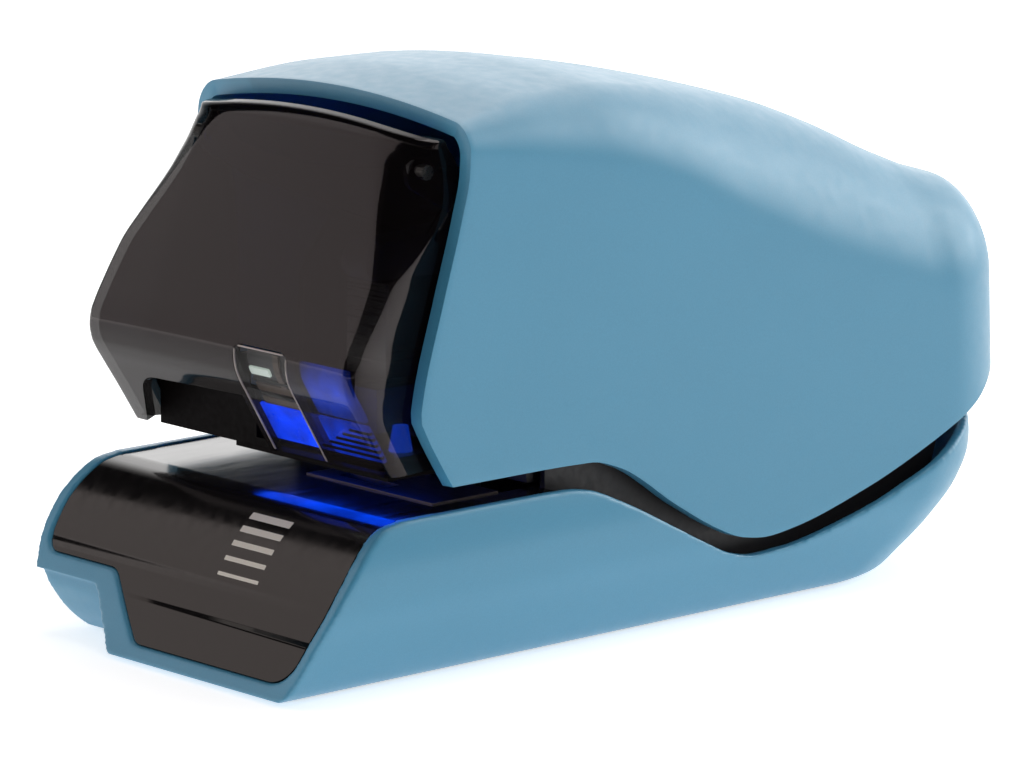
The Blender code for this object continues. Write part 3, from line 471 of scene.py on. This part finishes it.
def metal(name, base, roughness, stretch=(0.04, 1.0, 1.0), anisotropic=0.0):
    """Brushed or plated metal with fine lines along X."""
    p = Paint(name, base, roughness, metallic=1.0, Anisotropic=anisotropic)
    lines = p.noise(2.4, 4.0, stretch=stretch)
    stain = p.spread(p.noise(0.12, 4.0), 0.0, 1.0)
    body = p.blend(stain, tint(base, 0.82), tint(base, 1.08))
    p.colour(p.blend(p.edge_factor(), body, tint(base, 1.35)))
    p.rough(p.spread(lines, roughness - 0.08, roughness + 0.12))
    p.bump((lines, 0.10, 0.03))
    return p.material


def board_green():
    base = (0.015, 0.11, 0.045)
    p = Paint("circuit_green", base, 0.3)
    weave = p.node("ShaderNodeTexBrick")
    weave.inputs["Scale"].default_value = 1.0 / (4 * MM)
    weave.inputs["Color1"].default_value = (*base, 1.0)
    weave.inputs["Color2"].default_value = (*tint(base, 1.3), 1.0)
    weave.inputs["Mortar"].default_value = (*tint(base, 2.4), 1.0)
    weave.inputs["Mortar Size"].default_value = 0.03
    p.link(p.coordinates, weave.inputs["Vector"])
    p.colour(weave.outputs["Color"])
    p.rough(p.spread(p.noise(0.6, 3.0), 0.25, 0.4))
    p.bump((p.noise(1.0, 2.0), 0.1, 0.05))
    return p.material


def lit(name, base, emission, strength, roughness=0.3, pattern=0.6, centre=None, reach=None):
    """Plastic that a lamp shines through: its glow varies, and fades away from the lamp."""
    p = Paint(name, base, roughness)
    glow = p.spread(p.noise(0.16, 2.0), 0.0, 1.0, 0.25, 0.75)
    light = p.blend(glow, tint(emission, pattern), emission)
    if centre:
        away = p.node("ShaderNodeVectorMath", operation="DISTANCE")
        p.link(p.coordinates, away.inputs[0])
        away.inputs[1].default_value = tuple(c * MM for c in centre)
        near = p.spread(away.outputs["Value"], 1.0, 0.0, 0.3 * reach * MM, reach * MM)
        light = p.blend(near, (0.0, 0.0, 0.0), light)
    p.link(light, p.shader.inputs["Emission Color"])
    p.shader.inputs["Emission Strength"].default_value = strength
    p.rough(p.spread(p.noise(0.8, 2.0), roughness - 0.05, roughness + 0.08))
    return p.material


BLUE = satin_paint()
GLOSS = gloss_paint("gloss_black", (0.007, 0.0062, 0.0066), 0.10, 0.20, Specular_IOR_Level=0.40,
                    Specular_Tint=(1.0, 0.90, 0.84, 1.0))
SMOKE = gloss_paint("smoked_plastic", (0.0035, 0.0026, 0.0028), 0.045, 0.08, haze=0.2, Alpha=0.80,
                    Specular_IOR_Level=0.36, Specular_Tint=(1.0, 0.88, 0.88, 1.0))
CLEAR = gloss_paint("clear_plastic", (0.02, 0.018, 0.017), 0.05, 0.09, haze=0.2, Alpha=0.28)
# a darker, almost unreflecting copy of the black plastic: painted shade for black parts under the
# head and behind the front cover
SHADED_BLACK = moulded("black_plastic_painted_shade", (0.0016, 0.0009, 0.0010), 0.6, Specular_IOR_Level=0.06)
DARK = moulded("black_plastic", (0.012, 0.0105, 0.0115), 0.48)
RUBBER = moulded("rubber", (0.018, 0.018, 0.018), 0.8, grain=2.2, depth=0.08)
STEEL = metal("steel", (0.56, 0.55, 0.53), 0.3)
ZINC = metal("zinc_plate", (0.45, 0.45, 0.46), 0.42, stretch=(1.0, 1.0, 1.0))
BRASS = metal("brass", (0.70, 0.50, 0.22), 0.32)
NYLON = moulded("white_nylon", (0.72, 0.71, 0.66), 0.45, Subsurface_Weight=0.05)
GREY = moulded("grey_plastic", (0.16, 0.16, 0.17), 0.42)
BOARD = board_green()
GLOW = lit("light_guide_blue", (0.0, 0.01, 0.05), (0.0, 0.075, 1.0), 13.0, pattern=0.3,
           centre=(31.0, -85.0, 60.0), reach=11.0)
GLOW_LOW = lit("guide_front_blue", (0.0, 0.01, 0.05), (0.0, 0.05, 1.0), 2.6, pattern=0.35,
               centre=(21.0, -78.0, 50.5), reach=30.0)
GLOW_SIDE = lit("guide_side_blue", (0.0, 0.01, 0.05), (0.0, 0.06, 1.0), 15.0, pattern=0.3,
                centre=(28.0, -79.0, 49.5), reach=15.0)
UNDERGLOW = lit("lens_blue", (0.0, 0.01, 0.05), (0.0, 0.06, 1.0), 6.0, pattern=0.30)
LAMP = lit("lamp_blue", (0.02, 0.06, 0.6), (0.01, 0.09, 1.0), 6.0)
# the pale marker glows though it is no lamp: painted light that makes it look lit
PALE_PAINTED_GLOW = moulded("pale_marker_painted_glow", (0.75, 0.82, 0.77), 0.4, grain=3.0, depth=0.01,
               Emission_Color=(0.8, 1.0, 0.88, 1.0), Emission_Strength=0.6)
BROWN = moulded("brown_marker", (0.12, 0.088, 0.072), 0.45, grain=3.0, depth=0.01)
PANEL_GREY = moulded("gauge_grey", (0.045, 0.045, 0.050), 0.4, grain=3.0, depth=0.01)
EDGE = moulded("pane_edge_painted_highlight", (0.16, 0.14, 0.13), 0.25, grain=3.0, depth=0.005)
# lighter strips along the clear pane's edges: a painted highlight
INK = moulded("light_print", (0.40, 0.37, 0.33), 0.5, grain=3.0, depth=0.01)

SLOT_MATERIALS = {"satin_blue": BLUE, "gloss_black": GLOSS, "smoked_plastic": SMOKE,
                  "clear_plastic": CLEAR, "black_plastic": DARK, "rubber": RUBBER,
                  "steel": STEEL, "zinc_plate": ZINC, "brass": BRASS, "white_nylon": NYLON,
                  "grey_plastic": GREY, "circuit_green": BOARD, "lamp_blue": LAMP}
ANVIL = metal("anvil_metal", (0.16, 0.135, 0.125), 0.38)
# the head's tray and nose take the shaded copy of the black plastic: painted shade
OWN_MATERIALS = {"head_tray": SHADED_BLACK, "head_nose": SHADED_BLACK, "anvil_plate": ANVIL}
for row in frame["record"]["subparts"]:
    mesh = nodes[row["node"]].data
    if not mesh.materials:
        mesh.materials.append(None)
    for index in range(len(mesh.materials)):
        mesh.materials[index] = OWN_MATERIALS.get(row["node"], SLOT_MATERIALS[row["material_slot"]])


def settle(piece, body, slot_name, *replaced):
    """Puts a finished piece on its body and hides the solids it stands for; the name of its finish is
    not used.
    """
    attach(piece, body)
    if replaced:
        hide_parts(*replaced)
    return piece


# ------------------------------------------------------------------ upper housing
def housing_section(y, wall_points, corner_points, middle_points):
    """Points of the housing's outer skin across one station, right foot to left foot."""
    crown = smooth_value(CROWN_LINE, y)
    radius = smooth_value(SHOULDER_RADIUS, y)
    sag = smooth_value(CROWN_SAG, y)
    half = HOUSING_HALF_WIDTH
    past = y - (REAR_Y - HOUSING_REAR_RADIUS)
    if past > 0:
        half -= HOUSING_REAR_RADIUS - math.sqrt(max(HOUSING_REAR_RADIUS ** 2 - past ** 2, 0))
    past = y - (REAR_Y - TAIL_RADIUS)
    if past > 0:
        crown -= TAIL_RADIUS - math.sqrt(max(TAIL_RADIUS ** 2 - past ** 2, 0))
    foot = smooth_value(HOUSING_EDGE, y)
    radius = min(radius, half * 0.8)
    side = [(half, z) for z in steps(foot, crown - sag - radius, wall_points)]
    for i in range(1, corner_points + 1):
        angle = math.pi / 2 * i / corner_points
        x = half - radius + radius * math.cos(angle)
        side.append((x, crown - sag * (x / half) ** 2 - radius + radius * math.sin(angle)))
    inner = side[-1][0]
    for i in range(1, middle_points):
        x = inner * (1 - i / middle_points)
        side.append((x, crown - sag * (x / half) ** 2))
    full = side + [(0.0, crown)] + [(-x, z) for x, z in reversed(side)]
    return [(x * (1 - HOUSING_DRAFT * (z - SEAM_Z) / half), z) for x, z in full]


def housing_piece():
    front = -58.6
    depth = REAR_Y - front
    turn_y = REAR_Y - HOUSING_REAR_RADIUS
    stations = steps(front, turn_y, 96)
    stations += [turn_y + HOUSING_REAR_RADIUS * math.sin(a) for a in steps(0, math.pi / 2, 36)[1:]]
    rows = []
    for y in stations:
        fade = max(0.0, 1 - (y - front) / depth * 3.2) ** 2
        rows.append([(x, y + (smooth_value(MOUTH_LINE, z) - front) * fade, z)
                     for x, z in housing_section(y, 30, 16, 22)])
    shell = rings("housing", rows, closed=False, caps=False, ladder=True, material=BLUE)
    solidify(shell, WALL)
    soften(shell, 0.55, 4, 50)
    apply_all(shell, 50)
    return settle(shell, "chassis", "satin_blue", "upper_housing")


# ------------------------------------------------------------------ base
def hull(name, inset, levels, front_y):
    """Solid boat-shaped body of the base, with a round rear, inset from the outside."""
    loops = []
    for z in levels:
        half = smooth_value(BASE_HALF_WIDTH, z) - inset
        rear = smooth_value(BASE_REAR, z) - inset
        radius = BASE_REAR_RADIUS - inset
        loop = [(-half, front_y, z), (half, front_y, z)]
        for angle in steps(0, math.pi / 2, 28):
            loop.append((half - radius + radius * math.cos(angle),
                         rear - radius + radius * math.sin(angle), z))
        loop += [(-x, y, z) for x, y, z in reversed(loop[2:])]
        loops.append(loop)
    return rings(name, loops)


SLOPE = smooth_path(list(reversed(NOSE_SLOPE)), 6)


def half_at(z):
    return smooth_value(BASE_HALF_WIDTH, min(z, 34))


def panel_outline(margin):
    """Front view of the front panel: full width above the notch, a tongue below it."""
    side = [(half_at(z) - RIM - margin, z) for z in steps(37.5, 7, 16)]
    foot = 4.0 + margin
    corner = [(39.6 - margin, foot), (TONGUE_FOOT_X + 5.2 + margin, foot),
              (TONGUE_TOP_X + 4.4 + margin, NOTCH_TOP + 3.6 + margin)]
    left = [(-x, z) for x, z in reversed(side) if z > NOTCH_TOP + 5]
    left = [(-(half_at(13) - RIM - margin), NOTCH_TOP + 3.6 + margin)] + left
    points = side[:-1] + corner + left
    radii = [0] * (len(side) - 1) + [8, 3.5, 5, 3] + [0] * (len(left) - 1)
    return rounded(points, radii, 12)


def notch(name, grow):
    """Room under the wing at the front left, grown on every side."""
    top = NOTCH_TOP + grow
    room = plate(name, "Y", -125, -80,
                 rounded([(-70, top), (TONGUE_TOP_X + grow, top), (TONGUE_FOOT_X + grow, -2),
                          (-70, -2)], [0, 4.5, 0, 0], 14))
    scoop = [(-100.5, top + 2), (-100.2, 11), (-99.0, 8), (-97.0, 4.5), (-94.0, 0.5), (-93.0, -3)]
    scoop = [(-130, top + 2)] + smooth_path(scoop, 6) + [(-130, -3)]
    back = plate(name + "_scoop", "X", -80, 20, [(y + grow, z) for y, z in scoop])
    return boolean(room, back, "INTERSECT")


def base_piece():
    shell = hull("base_body", 0, steps(BASE_BOTTOM, 40, 60), -115)
    upper = [(y, smooth_value(BASE_EDGE, y)) for y in steps(-60, 104, 110)]
    side = plate("side_view", "X", -60, 60, SLOPE + upper + [(104, BASE_BOTTOM)])
    inside = hull("inside", BASE_WALL, [-2] + steps(BASE_BOTTOM, 46, 60), -115)
    thick = PANEL_RECESS + PANEL_THICKNESS + BASE_WALL
    nose = [p for p in offset_path(SLOPE, -thick) if p[1] > 0]
    room = plate("room", "X", -60, 60, [(nose[0][0], -3)] + nose
                 + [(-70, 30.4), (-70, 60), (120, 60), (120, -3)])
    boolean(room, inside, "INTERSECT")
    boolean(room, notch("notch_wall", BASE_WALL))
    path = SLOPE + [(PANEL_REAR_Y + 20, 35.6)]
    deep = offset_path(path, -(PANEL_RECESS + PANEL_THICKNESS + 0.3))
    high = offset_path(path, 4)
    recess = plate("recess", "X", -60, 60, deep + list(reversed(high)))
    view = plate("recess_view", "Y", -120, PANEL_REAR_Y + 30, panel_outline(0))
    boolean(recess, view, "INTERSECT")
    boolean(shell, side, "INTERSECT")
    boolean(shell, notch("notch_room", 0))
    boolean(shell, room)
    boolean(shell, recess)
    boolean(shell, plate("inlet_hole", "Y", 75, 110, circle(-12, 20, 5.0)))
    boolean(shell, plate("switch_hole", "Y", 75, 110,
                         rounded([(8, 16.5), (22, 16.5), (22, 24.5), (8, 24.5)], [1] * 4, 5)))
    remesh = shell.modifiers.new("remesh", "REMESH")
    remesh.mode = "VOXEL"
    remesh.voxel_size = 0.48 * MM
    remesh.use_smooth_shade = True
    smooth = shell.modifiers.new("smooth", "CORRECTIVE_SMOOTH")
    smooth.factor = 0.5
    smooth.iterations = 5
    smooth.use_only_smooth = True
    apply_all(shell, 0)
    shell.name = "base_body"
    shell.data.materials.clear()
    shell.data.materials.append(BLUE)
    return settle(shell, "chassis", "satin_blue", "base_shell")


# ------------------------------------------------------------------ front panel
PANEL_PATH = SLOPE + [(y, 35.6) for y in steps(-78, PANEL_REAR_Y, 30)]
PANEL_TOP = offset_path(PANEL_PATH, -PANEL_RECESS)
RUN = [0.0]
for start, end in zip(PANEL_TOP, PANEL_TOP[1:]):
    RUN.append(RUN[-1] + (Vector(end) - Vector(start)).length)


def on_slope(x, run, lift):
    """The point of the panel's surface at a distance along its path."""
    run = min(max(run, 0.0), RUN[-1] - 1e-6)
    index = max(i for i in range(len(RUN) - 1) if RUN[i] <= run)
    share = (run - RUN[index]) / (RUN[index + 1] - RUN[index])
    a, b = Vector(PANEL_TOP[index]), Vector(PANEL_TOP[index + 1])
    before = Vector(PANEL_TOP[max(index - 1, 0)])
    after = Vector(PANEL_TOP[min(index + 2, len(PANEL_TOP) - 1)])
    arriving, leaving = (b - before).normalized(), (after - a).normalized()
    along = (arriving * (1 - share) + leaving * share).normalized()
    point = a + (b - a) * share
    return (x, point.x - along.y * lift, point.y + along.x * lift)


def run_at(z):
    """Distance along the panel's path to a height on the slope."""
    for i in range(len(RUN) - 1):
        low, high = PANEL_TOP[i][1], PANEL_TOP[i + 1][1]
        if low <= z <= high and high > low:
            return RUN[i] + (RUN[i + 1] - RUN[i]) * (z - low) / (high - low)
    return RUN[-1]


def run_at_y(y):
    for i in range(len(RUN) - 1):
        low, high = PANEL_TOP[i][0], PANEL_TOP[i + 1][0]
        if low <= y <= high:
            return RUN[i] + (RUN[i + 1] - RUN[i]) * (y - low) / (high - low)
    return RUN[-1]


def bent_plate(name, outline, top, bottom, material, bevel=0.0, spacing=0.8, sharp=35):
    """A flat outline in (x, run) laid over the slope between two lifts."""
    shape = bmesh.new()
    low = [shape.verts.new((x, r, bottom)) for x, r in outline]
    high = [shape.verts.new((x, r, top)) for x, r in outline]
    shape.faces.new(low)
    cap = shape.faces.new(high)
    count = len(outline)
    for i in range(count):
        j = (i + 1) % count
        shape.faces.new((low[i], low[j], high[j], high[i]))
    if bevel:
        bmesh.ops.bevel(shape, geom=list(cap.edges), offset=bevel, segments=3, profile=0.5,
                        affect="EDGES", clamp_overlap=True)
    lowest = min(r for _, r in outline)
    highest = max(r for _, r in outline)
    cuts = int((highest - lowest) / spacing)
    for i in range(1, cuts):
        at = lowest + (highest - lowest) * i / cuts
        bmesh.ops.bisect_plane(shape, geom=shape.verts[:] + shape.edges[:] + shape.faces[:],
                               plane_co=(0, at, 0), plane_no=(0, 1, 0))
    for vertex in shape.verts:
        vertex.co = on_slope(vertex.co.x, vertex.co.y, vertex.co.z)
    return finish_shape(name, shape, material, sharp)


def panel_runs(margin):
    """The panel's outline in (x, run)."""
    flat = []
    top_run = run_at_y(PANEL_REAR_Y + 0.01)
    for x, z in panel_outline(margin):
        if z < 34.6:
            flat.append((x, run_at(z)))
    half = half_at(34) - RIM - margin
    return [(half, top_run)] + [(half, r) for r in steps(top_run, run_at(34.6), 12)[1:]] + flat \
        + [(-half, r) for r in steps(run_at(34.6), top_run, 12)[:-1]] + [(-half, top_run)]


def panel_pieces():
    panel = bent_plate("slope_panel", panel_runs(0.3), 0.0, -PANEL_THICKNESS, GLOSS, bevel=0.35)
    bay = box("anvil_bay", (-3, -64.5, 30), (38, -30, 40))
    boolean(panel, bay)
    settle(panel, "chassis", "gloss_black", "front_panel")
    marks = []
    for index in range(5):
        run = run_at_y(-92.6) + 5.1 - index * BAR_STEP
        thick = BAR_THICKNESS - index * BAR_TAPER
        left, right = BAR_LEFT, BAR_LEFT + BAR_LENGTH
        marks.append(bent_plate(f"guide_bar_{index + 1}",
                                rounded([(left, run - thick / 2), (right, run - thick / 2),
                                         (right, run + thick / 2), (left, run + thick / 2)],
                                        [0.15] * 4, 3), 0.03, -0.1, INK, spacing=0.7))
        settle(marks[-1], "chassis", "gloss_black")
    return panel


# ------------------------------------------------------------------ front cover
def column(index):
    return [(row[0], row[index]) for row in VISOR_LEVELS]


FRONT_LINE, HALF_LINE, ACROSS_LINE, ALONG_LINE = (column(i) for i in (1, 2, 3, 4))


def visor_front(z):
    return smooth_value(FRONT_LINE, z)


def visor_row(z, dense):
    """One level of the front cover's outside, right rear edge to left rear edge."""
    front = visor_front(z)
    half = smooth_value(HALF_LINE, z)
    across = smooth_value(ACROSS_LINE, z)
    share = ((z - VISOR_BOTTOM) / (VISOR_TOP - VISOR_BOTTOM)) ** 2
    rear = VISOR_REAR_Y[0] + (VISOR_REAR_Y[1] - VISOR_REAR_Y[0]) * share ** 2
    along = min(smooth_value(ALONG_LINE, z), 0.7 * (rear - front))
    corner_y = front + along
    flare_y = smooth_value(MOUTH_LINE, z) - 1.5
    flare_y = min(max(flare_y, 0.8 * corner_y + 0.2 * rear), 0.2 * corner_y + 0.8 * rear)
    wide = half + smooth_value(VISOR_FLARE, z)
    side = [(half, y) for y in steps(rear, flare_y, 6)[:-1]]
    for t in steps(0, 1, 10)[:-1]:
        ease = 3 * t ** 2 - 2 * t ** 3
        side.append((half + (wide - half) * ease, flare_y + (corner_y - flare_y) * t))
    for angle in steps(0, math.pi / 2, dense):
        side.append((wide - across * (1 - math.cos(angle)),
                     front + along * (1 - math.sin(angle))))
    inner = side[-1][0]
    side += [(inner * (1 - i / 22), front) for i in range(1, 22)]
    loop = side + [(0.0, front)] + [(-x, y) for x, y in reversed(side)]
    return [(x, y, z - VISOR_CROWN * share * (x / 40) ** 2) for x, y in loop]


def visor_piece():
    """The smoked cover, with its finger notch and the hole for the window."""
    levels = steps(VISOR_BOTTOM, 60.0, 22) + steps(60.3, 71.0, 36) + steps(71.6, 104.0, 56) \
        + steps(104.3, 112.6, 30) + steps(112.7, VISOR_TOP, 8)
    cover = rings("front_cover", [visor_row(z, 22) for z in levels], closed=False, caps=False,
                  ladder=True, material=SMOKE, sharp=0)
    solidify(cover, VISOR_THICKNESS)
    apply_all(cover, 0)
    boolean(cover, plate("finger_notch", "Y", -100, -60,
                         rounded([(-44.2, 30), (STAPLE_X - 7, 30), (STAPLE_X - 7, 56.2),
                                  (-29.8, 55.2)], [0, 0, 0, 8], 16)))
    low, high, top = PANE_X[0] - WINDOW_GAP, PANE_X[1] + WINDOW_GAP, PANE_TOP + WINDOW_GAP
    boolean(cover, plate("window_hole", "Y", -100, -60,
                         rounded([(low, 30), (high, 30), (high, top), (low, top)],
                                 [0, 0, 2.4, 2.4], 8)))
    cover.data.set_sharp_from_angle(angle=math.radians(38))
    return settle(cover, "visor", "smoked_plastic", "visor_cover")


def strip_along(name, x_low, x_high, z_low, z_high, lift, depth, material):
    """A thin band that follows the inside or outside of the front cover."""
    count = max(int((z_high - z_low) * 1.5), 4)
    path = [(visor_front(z), z) for z in steps(z_low, z_high, count)]
    outer = offset_path(path, lift)
    inner = offset_path(path, lift - depth)
    return plate(name, "X", x_low, x_high, outer + list(reversed(inner)), material,
                 bevel=min(0.12, depth / 4))


def window_pieces():
    """The clear pane with its bright outline, which is a painted highlight, and what can be seen
    through it.
    """
    pane = strip_along("window_pane", *PANE_X, 43.9, PANE_TOP, -0.15, 1.4, CLEAR)
    settle(pane, "visor", "clear_plastic", "visor_window")
    left, right = PANE_X
    side_top = PANE_TOP - 1.0
    # the pane's bright outline: lighter strips as a painted highlight
    for name, low, high, z_low, z_high in (
            ("left", left - 0.05, left + 0.32, 44.2, side_top),
            ("right", right - 0.32, right + 0.05, 44.2, side_top),
            ("top", left + 1.2, right - 1.2, PANE_TOP - 0.35, PANE_TOP)):
        edge = strip_along("window_edge_" + name, low, high, z_low, z_high, 0.02, 0.3, EDGE)
        settle(edge, "visor", "clear_plastic")
    back = strip_along("window_back", left + 0.6, right - 0.6, 52.6, PANE_TOP - 0.6, -3.2, 0.8,
                       PANEL_GREY)
    settle(back, "visor", "black_plastic")
    for name, x_low, x_high, z_low, z_high, paint in (
            ("gauge_bar", 7.4, 13.6, 60.0, 61.7, PALE_PAINTED_GLOW),
            ("gauge_strip", 15.6, 17.4, 57.6, 66.4, BROWN),
            ("gauge_line_low", 7.2, 22.2, 55.0, 55.6, DARK),
            ("gauge_line_high", 7.2, 22.2, 58.2, 58.9, DARK),
            ("gauge_band_low", 7.2, 22.2, 53.2, 54.8, BROWN),
            ("gauge_band_high", 7.2, 22.2, 56.2, 57.8, BROWN)):
        settle(strip_along(name, x_low, x_high, z_low, z_high, -2.6, 0.55, paint), "visor",
               "black_plastic")
    y = visor_front(64.6) + 3.1
    oval = [(20.2 + 2.1 * a, 64.6 + 1.2 * b) for a, b in circle(0, 0, 1)]
    sensor = plate("gauge_sensor", "Y", y, y + 0.6, oval, DARK, bevel=0.15)
    settle(sensor, "visor", "black_plastic")


def glow_pieces():
    """The blue lamp's light guide behind the front cover, its ribs and the lens under the head."""
    guide = strip_along("light_guide", 23.9, GUIDE_RIGHT, 53.4, 66.4, -3.0, 0.8, GLOW)
    settle(guide, "chassis", "lamp_blue")
    front = strip_along("guide_front", GUIDE_LEFT, 23.2, *GUIDE_LEVELS, -2.7, 0.7, GLOW_LOW)
    settle(front, "chassis", "lamp_blue")
    side = strip_along("guide_side", GUIDE_SPLIT, GUIDE_RIGHT, *GUIDE_LEVELS, -2.7, 0.7, GLOW_SIDE)
    settle(side, "chassis", "lamp_blue")
    # the foot, the ribs and the lens frame take the shaded copy of the black plastic: painted shade
    foot = box("guide_foot", (GUIDE_LEFT, -78.2, 44.3), (GUIDE_RIGHT, -75.2, 45.4), SHADED_BLACK, bevel=0.2)
    settle(foot, "chassis", "black_plastic")
    for index in range(5):
        x, z = 20.5 + 3.0 * index, 45.6 + 1.35 * index
        rib = strip_along(f"guide_rib_{index + 1}", x, 39.2, z, z + 0.42, -2.4, 0.7, SHADED_BLACK)
        settle(rib, "chassis", "black_plastic")
    lens = box("glow_lens", (-10.0, -74.8, 41.9), (36.6, -62.0, 42.5), UNDERGLOW, bevel=0.15)
    settle(lens, "chassis", "lamp_blue")
    rim = plate("lens_frame", "Z", 41.6, 42.6,
                [(-11.2, -76.0), (37.4, -76.0), (37.4, -62.0), (36.7, -62.0), (36.7, -75.0),
                 (-10.2, -75.0), (-10.2, -62.0), (-11.2, -62.0)], SHADED_BLACK, bevel=0.12)
    settle(rim, "chassis", "black_plastic")


# ------------------------------------------------------------------ stage
def stage_material(name, colour):
    p = Paint(name, colour, 0.9, Emission_Color=(1.0, 1.0, 1.0, 1.0), Emission_Strength=0.62)
    p.colour(p.blend(p.noise(0.002, 2.0), tint(colour, 0.995), colour))
    return p.material


def studio():
    shape = bmesh.new()
    bmesh.ops.create_grid(shape, x_segments=2, y_segments=2, size=6000)
    floor = finish_shape("floor", shape, stage_material("floor", (0.92, 0.92, 0.92)))
    # a black card, seen only in reflections, keeps the front cover's right side dark
    flag = plate("black_flag", "Z", 1.0, 3.0,
                 [(110, -900), (1000, -900), (1000, -130), (110, -130)],
                 moulded("flag_cloth", (0.004, 0.004, 0.004), 0.9))
    flag.visible_camera = False
    flag.visible_diffuse = False
    flag.visible_shadow = False
    world = bpy.data.worlds.new("studio")
    bpy.context.scene.world = world
    world.use_nodes = True
    tree = world.node_tree
    background = tree.nodes["Background"]
    position = tree.nodes.new("ShaderNodeTexCoord")
    split = tree.nodes.new("ShaderNodeVectorMath")
    split.operation = "DOT_PRODUCT"
    tree.links.new(position.outputs["Generated"], split.inputs[0])
    split.inputs[1].default_value = Vector((-0.30, 0.93, 0.16)).normalized()
    ranges = []
    for low, high, weakest, strongest in ((-0.6, 0.95, 0.08, 0.42), (0.40, 0.86, 0.0, 2.1)):
        spread = tree.nodes.new("ShaderNodeMapRange")
        spread.interpolation_type = "SMOOTHSTEP"
        spread.inputs["From Min"].default_value = low
        spread.inputs["From Max"].default_value = high
        spread.inputs["To Min"].default_value = weakest
        spread.inputs["To Max"].default_value = strongest
        tree.links.new(split.outputs["Value"], spread.inputs["Value"])
        ranges.append(spread.outputs["Result"])
    rays = tree.nodes.new("ShaderNodeLightPath")
    mirror = tree.nodes.new("ShaderNodeMix")
    tree.links.new(rays.outputs["Is Glossy Ray"], mirror.inputs[0])
    tree.links.new(ranges[0], mirror.inputs[2])
    tree.links.new(ranges[1], mirror.inputs[3])
    pick = tree.nodes.new("ShaderNodeMix")
    tree.links.new(rays.outputs["Is Camera Ray"], pick.inputs[0])
    tree.links.new(mirror.outputs[0], pick.inputs[2])
    pick.inputs[3].default_value = 1.05
    tree.links.new(pick.outputs[0], background.inputs["Strength"])
    background.inputs["Color"].default_value = (1.0, 1.0, 1.0, 1.0)
    for name, at, size, power, colour in (
            ("top_light", (-0.1, 0.45, 1.2), (1.0, 1.0), 6.0, (1.0, 0.99, 0.98)),
            ("side_light", (1.15, -0.62, 0.80), (0.9, 0.9), 3.1, (1.0, 1.0, 1.0)),
            ("rear_light", (0.42, 0.95, 0.50), (0.7, 0.7), 4.6, (1.0, 0.99, 0.97)),
            ("front_card", (-0.85, -0.75, 0.46), (0.75, 1.6), 4.0, (1.0, 0.93, 0.92))):
        data = bpy.data.lights.new(name, "AREA")
        data.shape = "RECTANGLE"
        data.size, data.size_y = size
        data.energy = power
        data.color = colour
        lamp = bpy.data.objects.new(name, data)
        lamp.visible_glossy = name != "side_light"
        bpy.context.scene.collection.objects.link(lamp)
        lamp.location = at
        lamp.rotation_mode = "QUATERNION"
        lamp.rotation_quaternion = (Vector((0, 0, 0.06)) - Vector(at)).to_track_quat("-Z", "Y")
    settings = bpy.context.scene.view_settings
    settings.view_transform = "Standard"
    settings.look = "None"
    settings.exposure = 0.0


housing_piece()
base_piece()
panel_pieces()
visor_piece()
window_pieces()
glow_pieces()
studio()
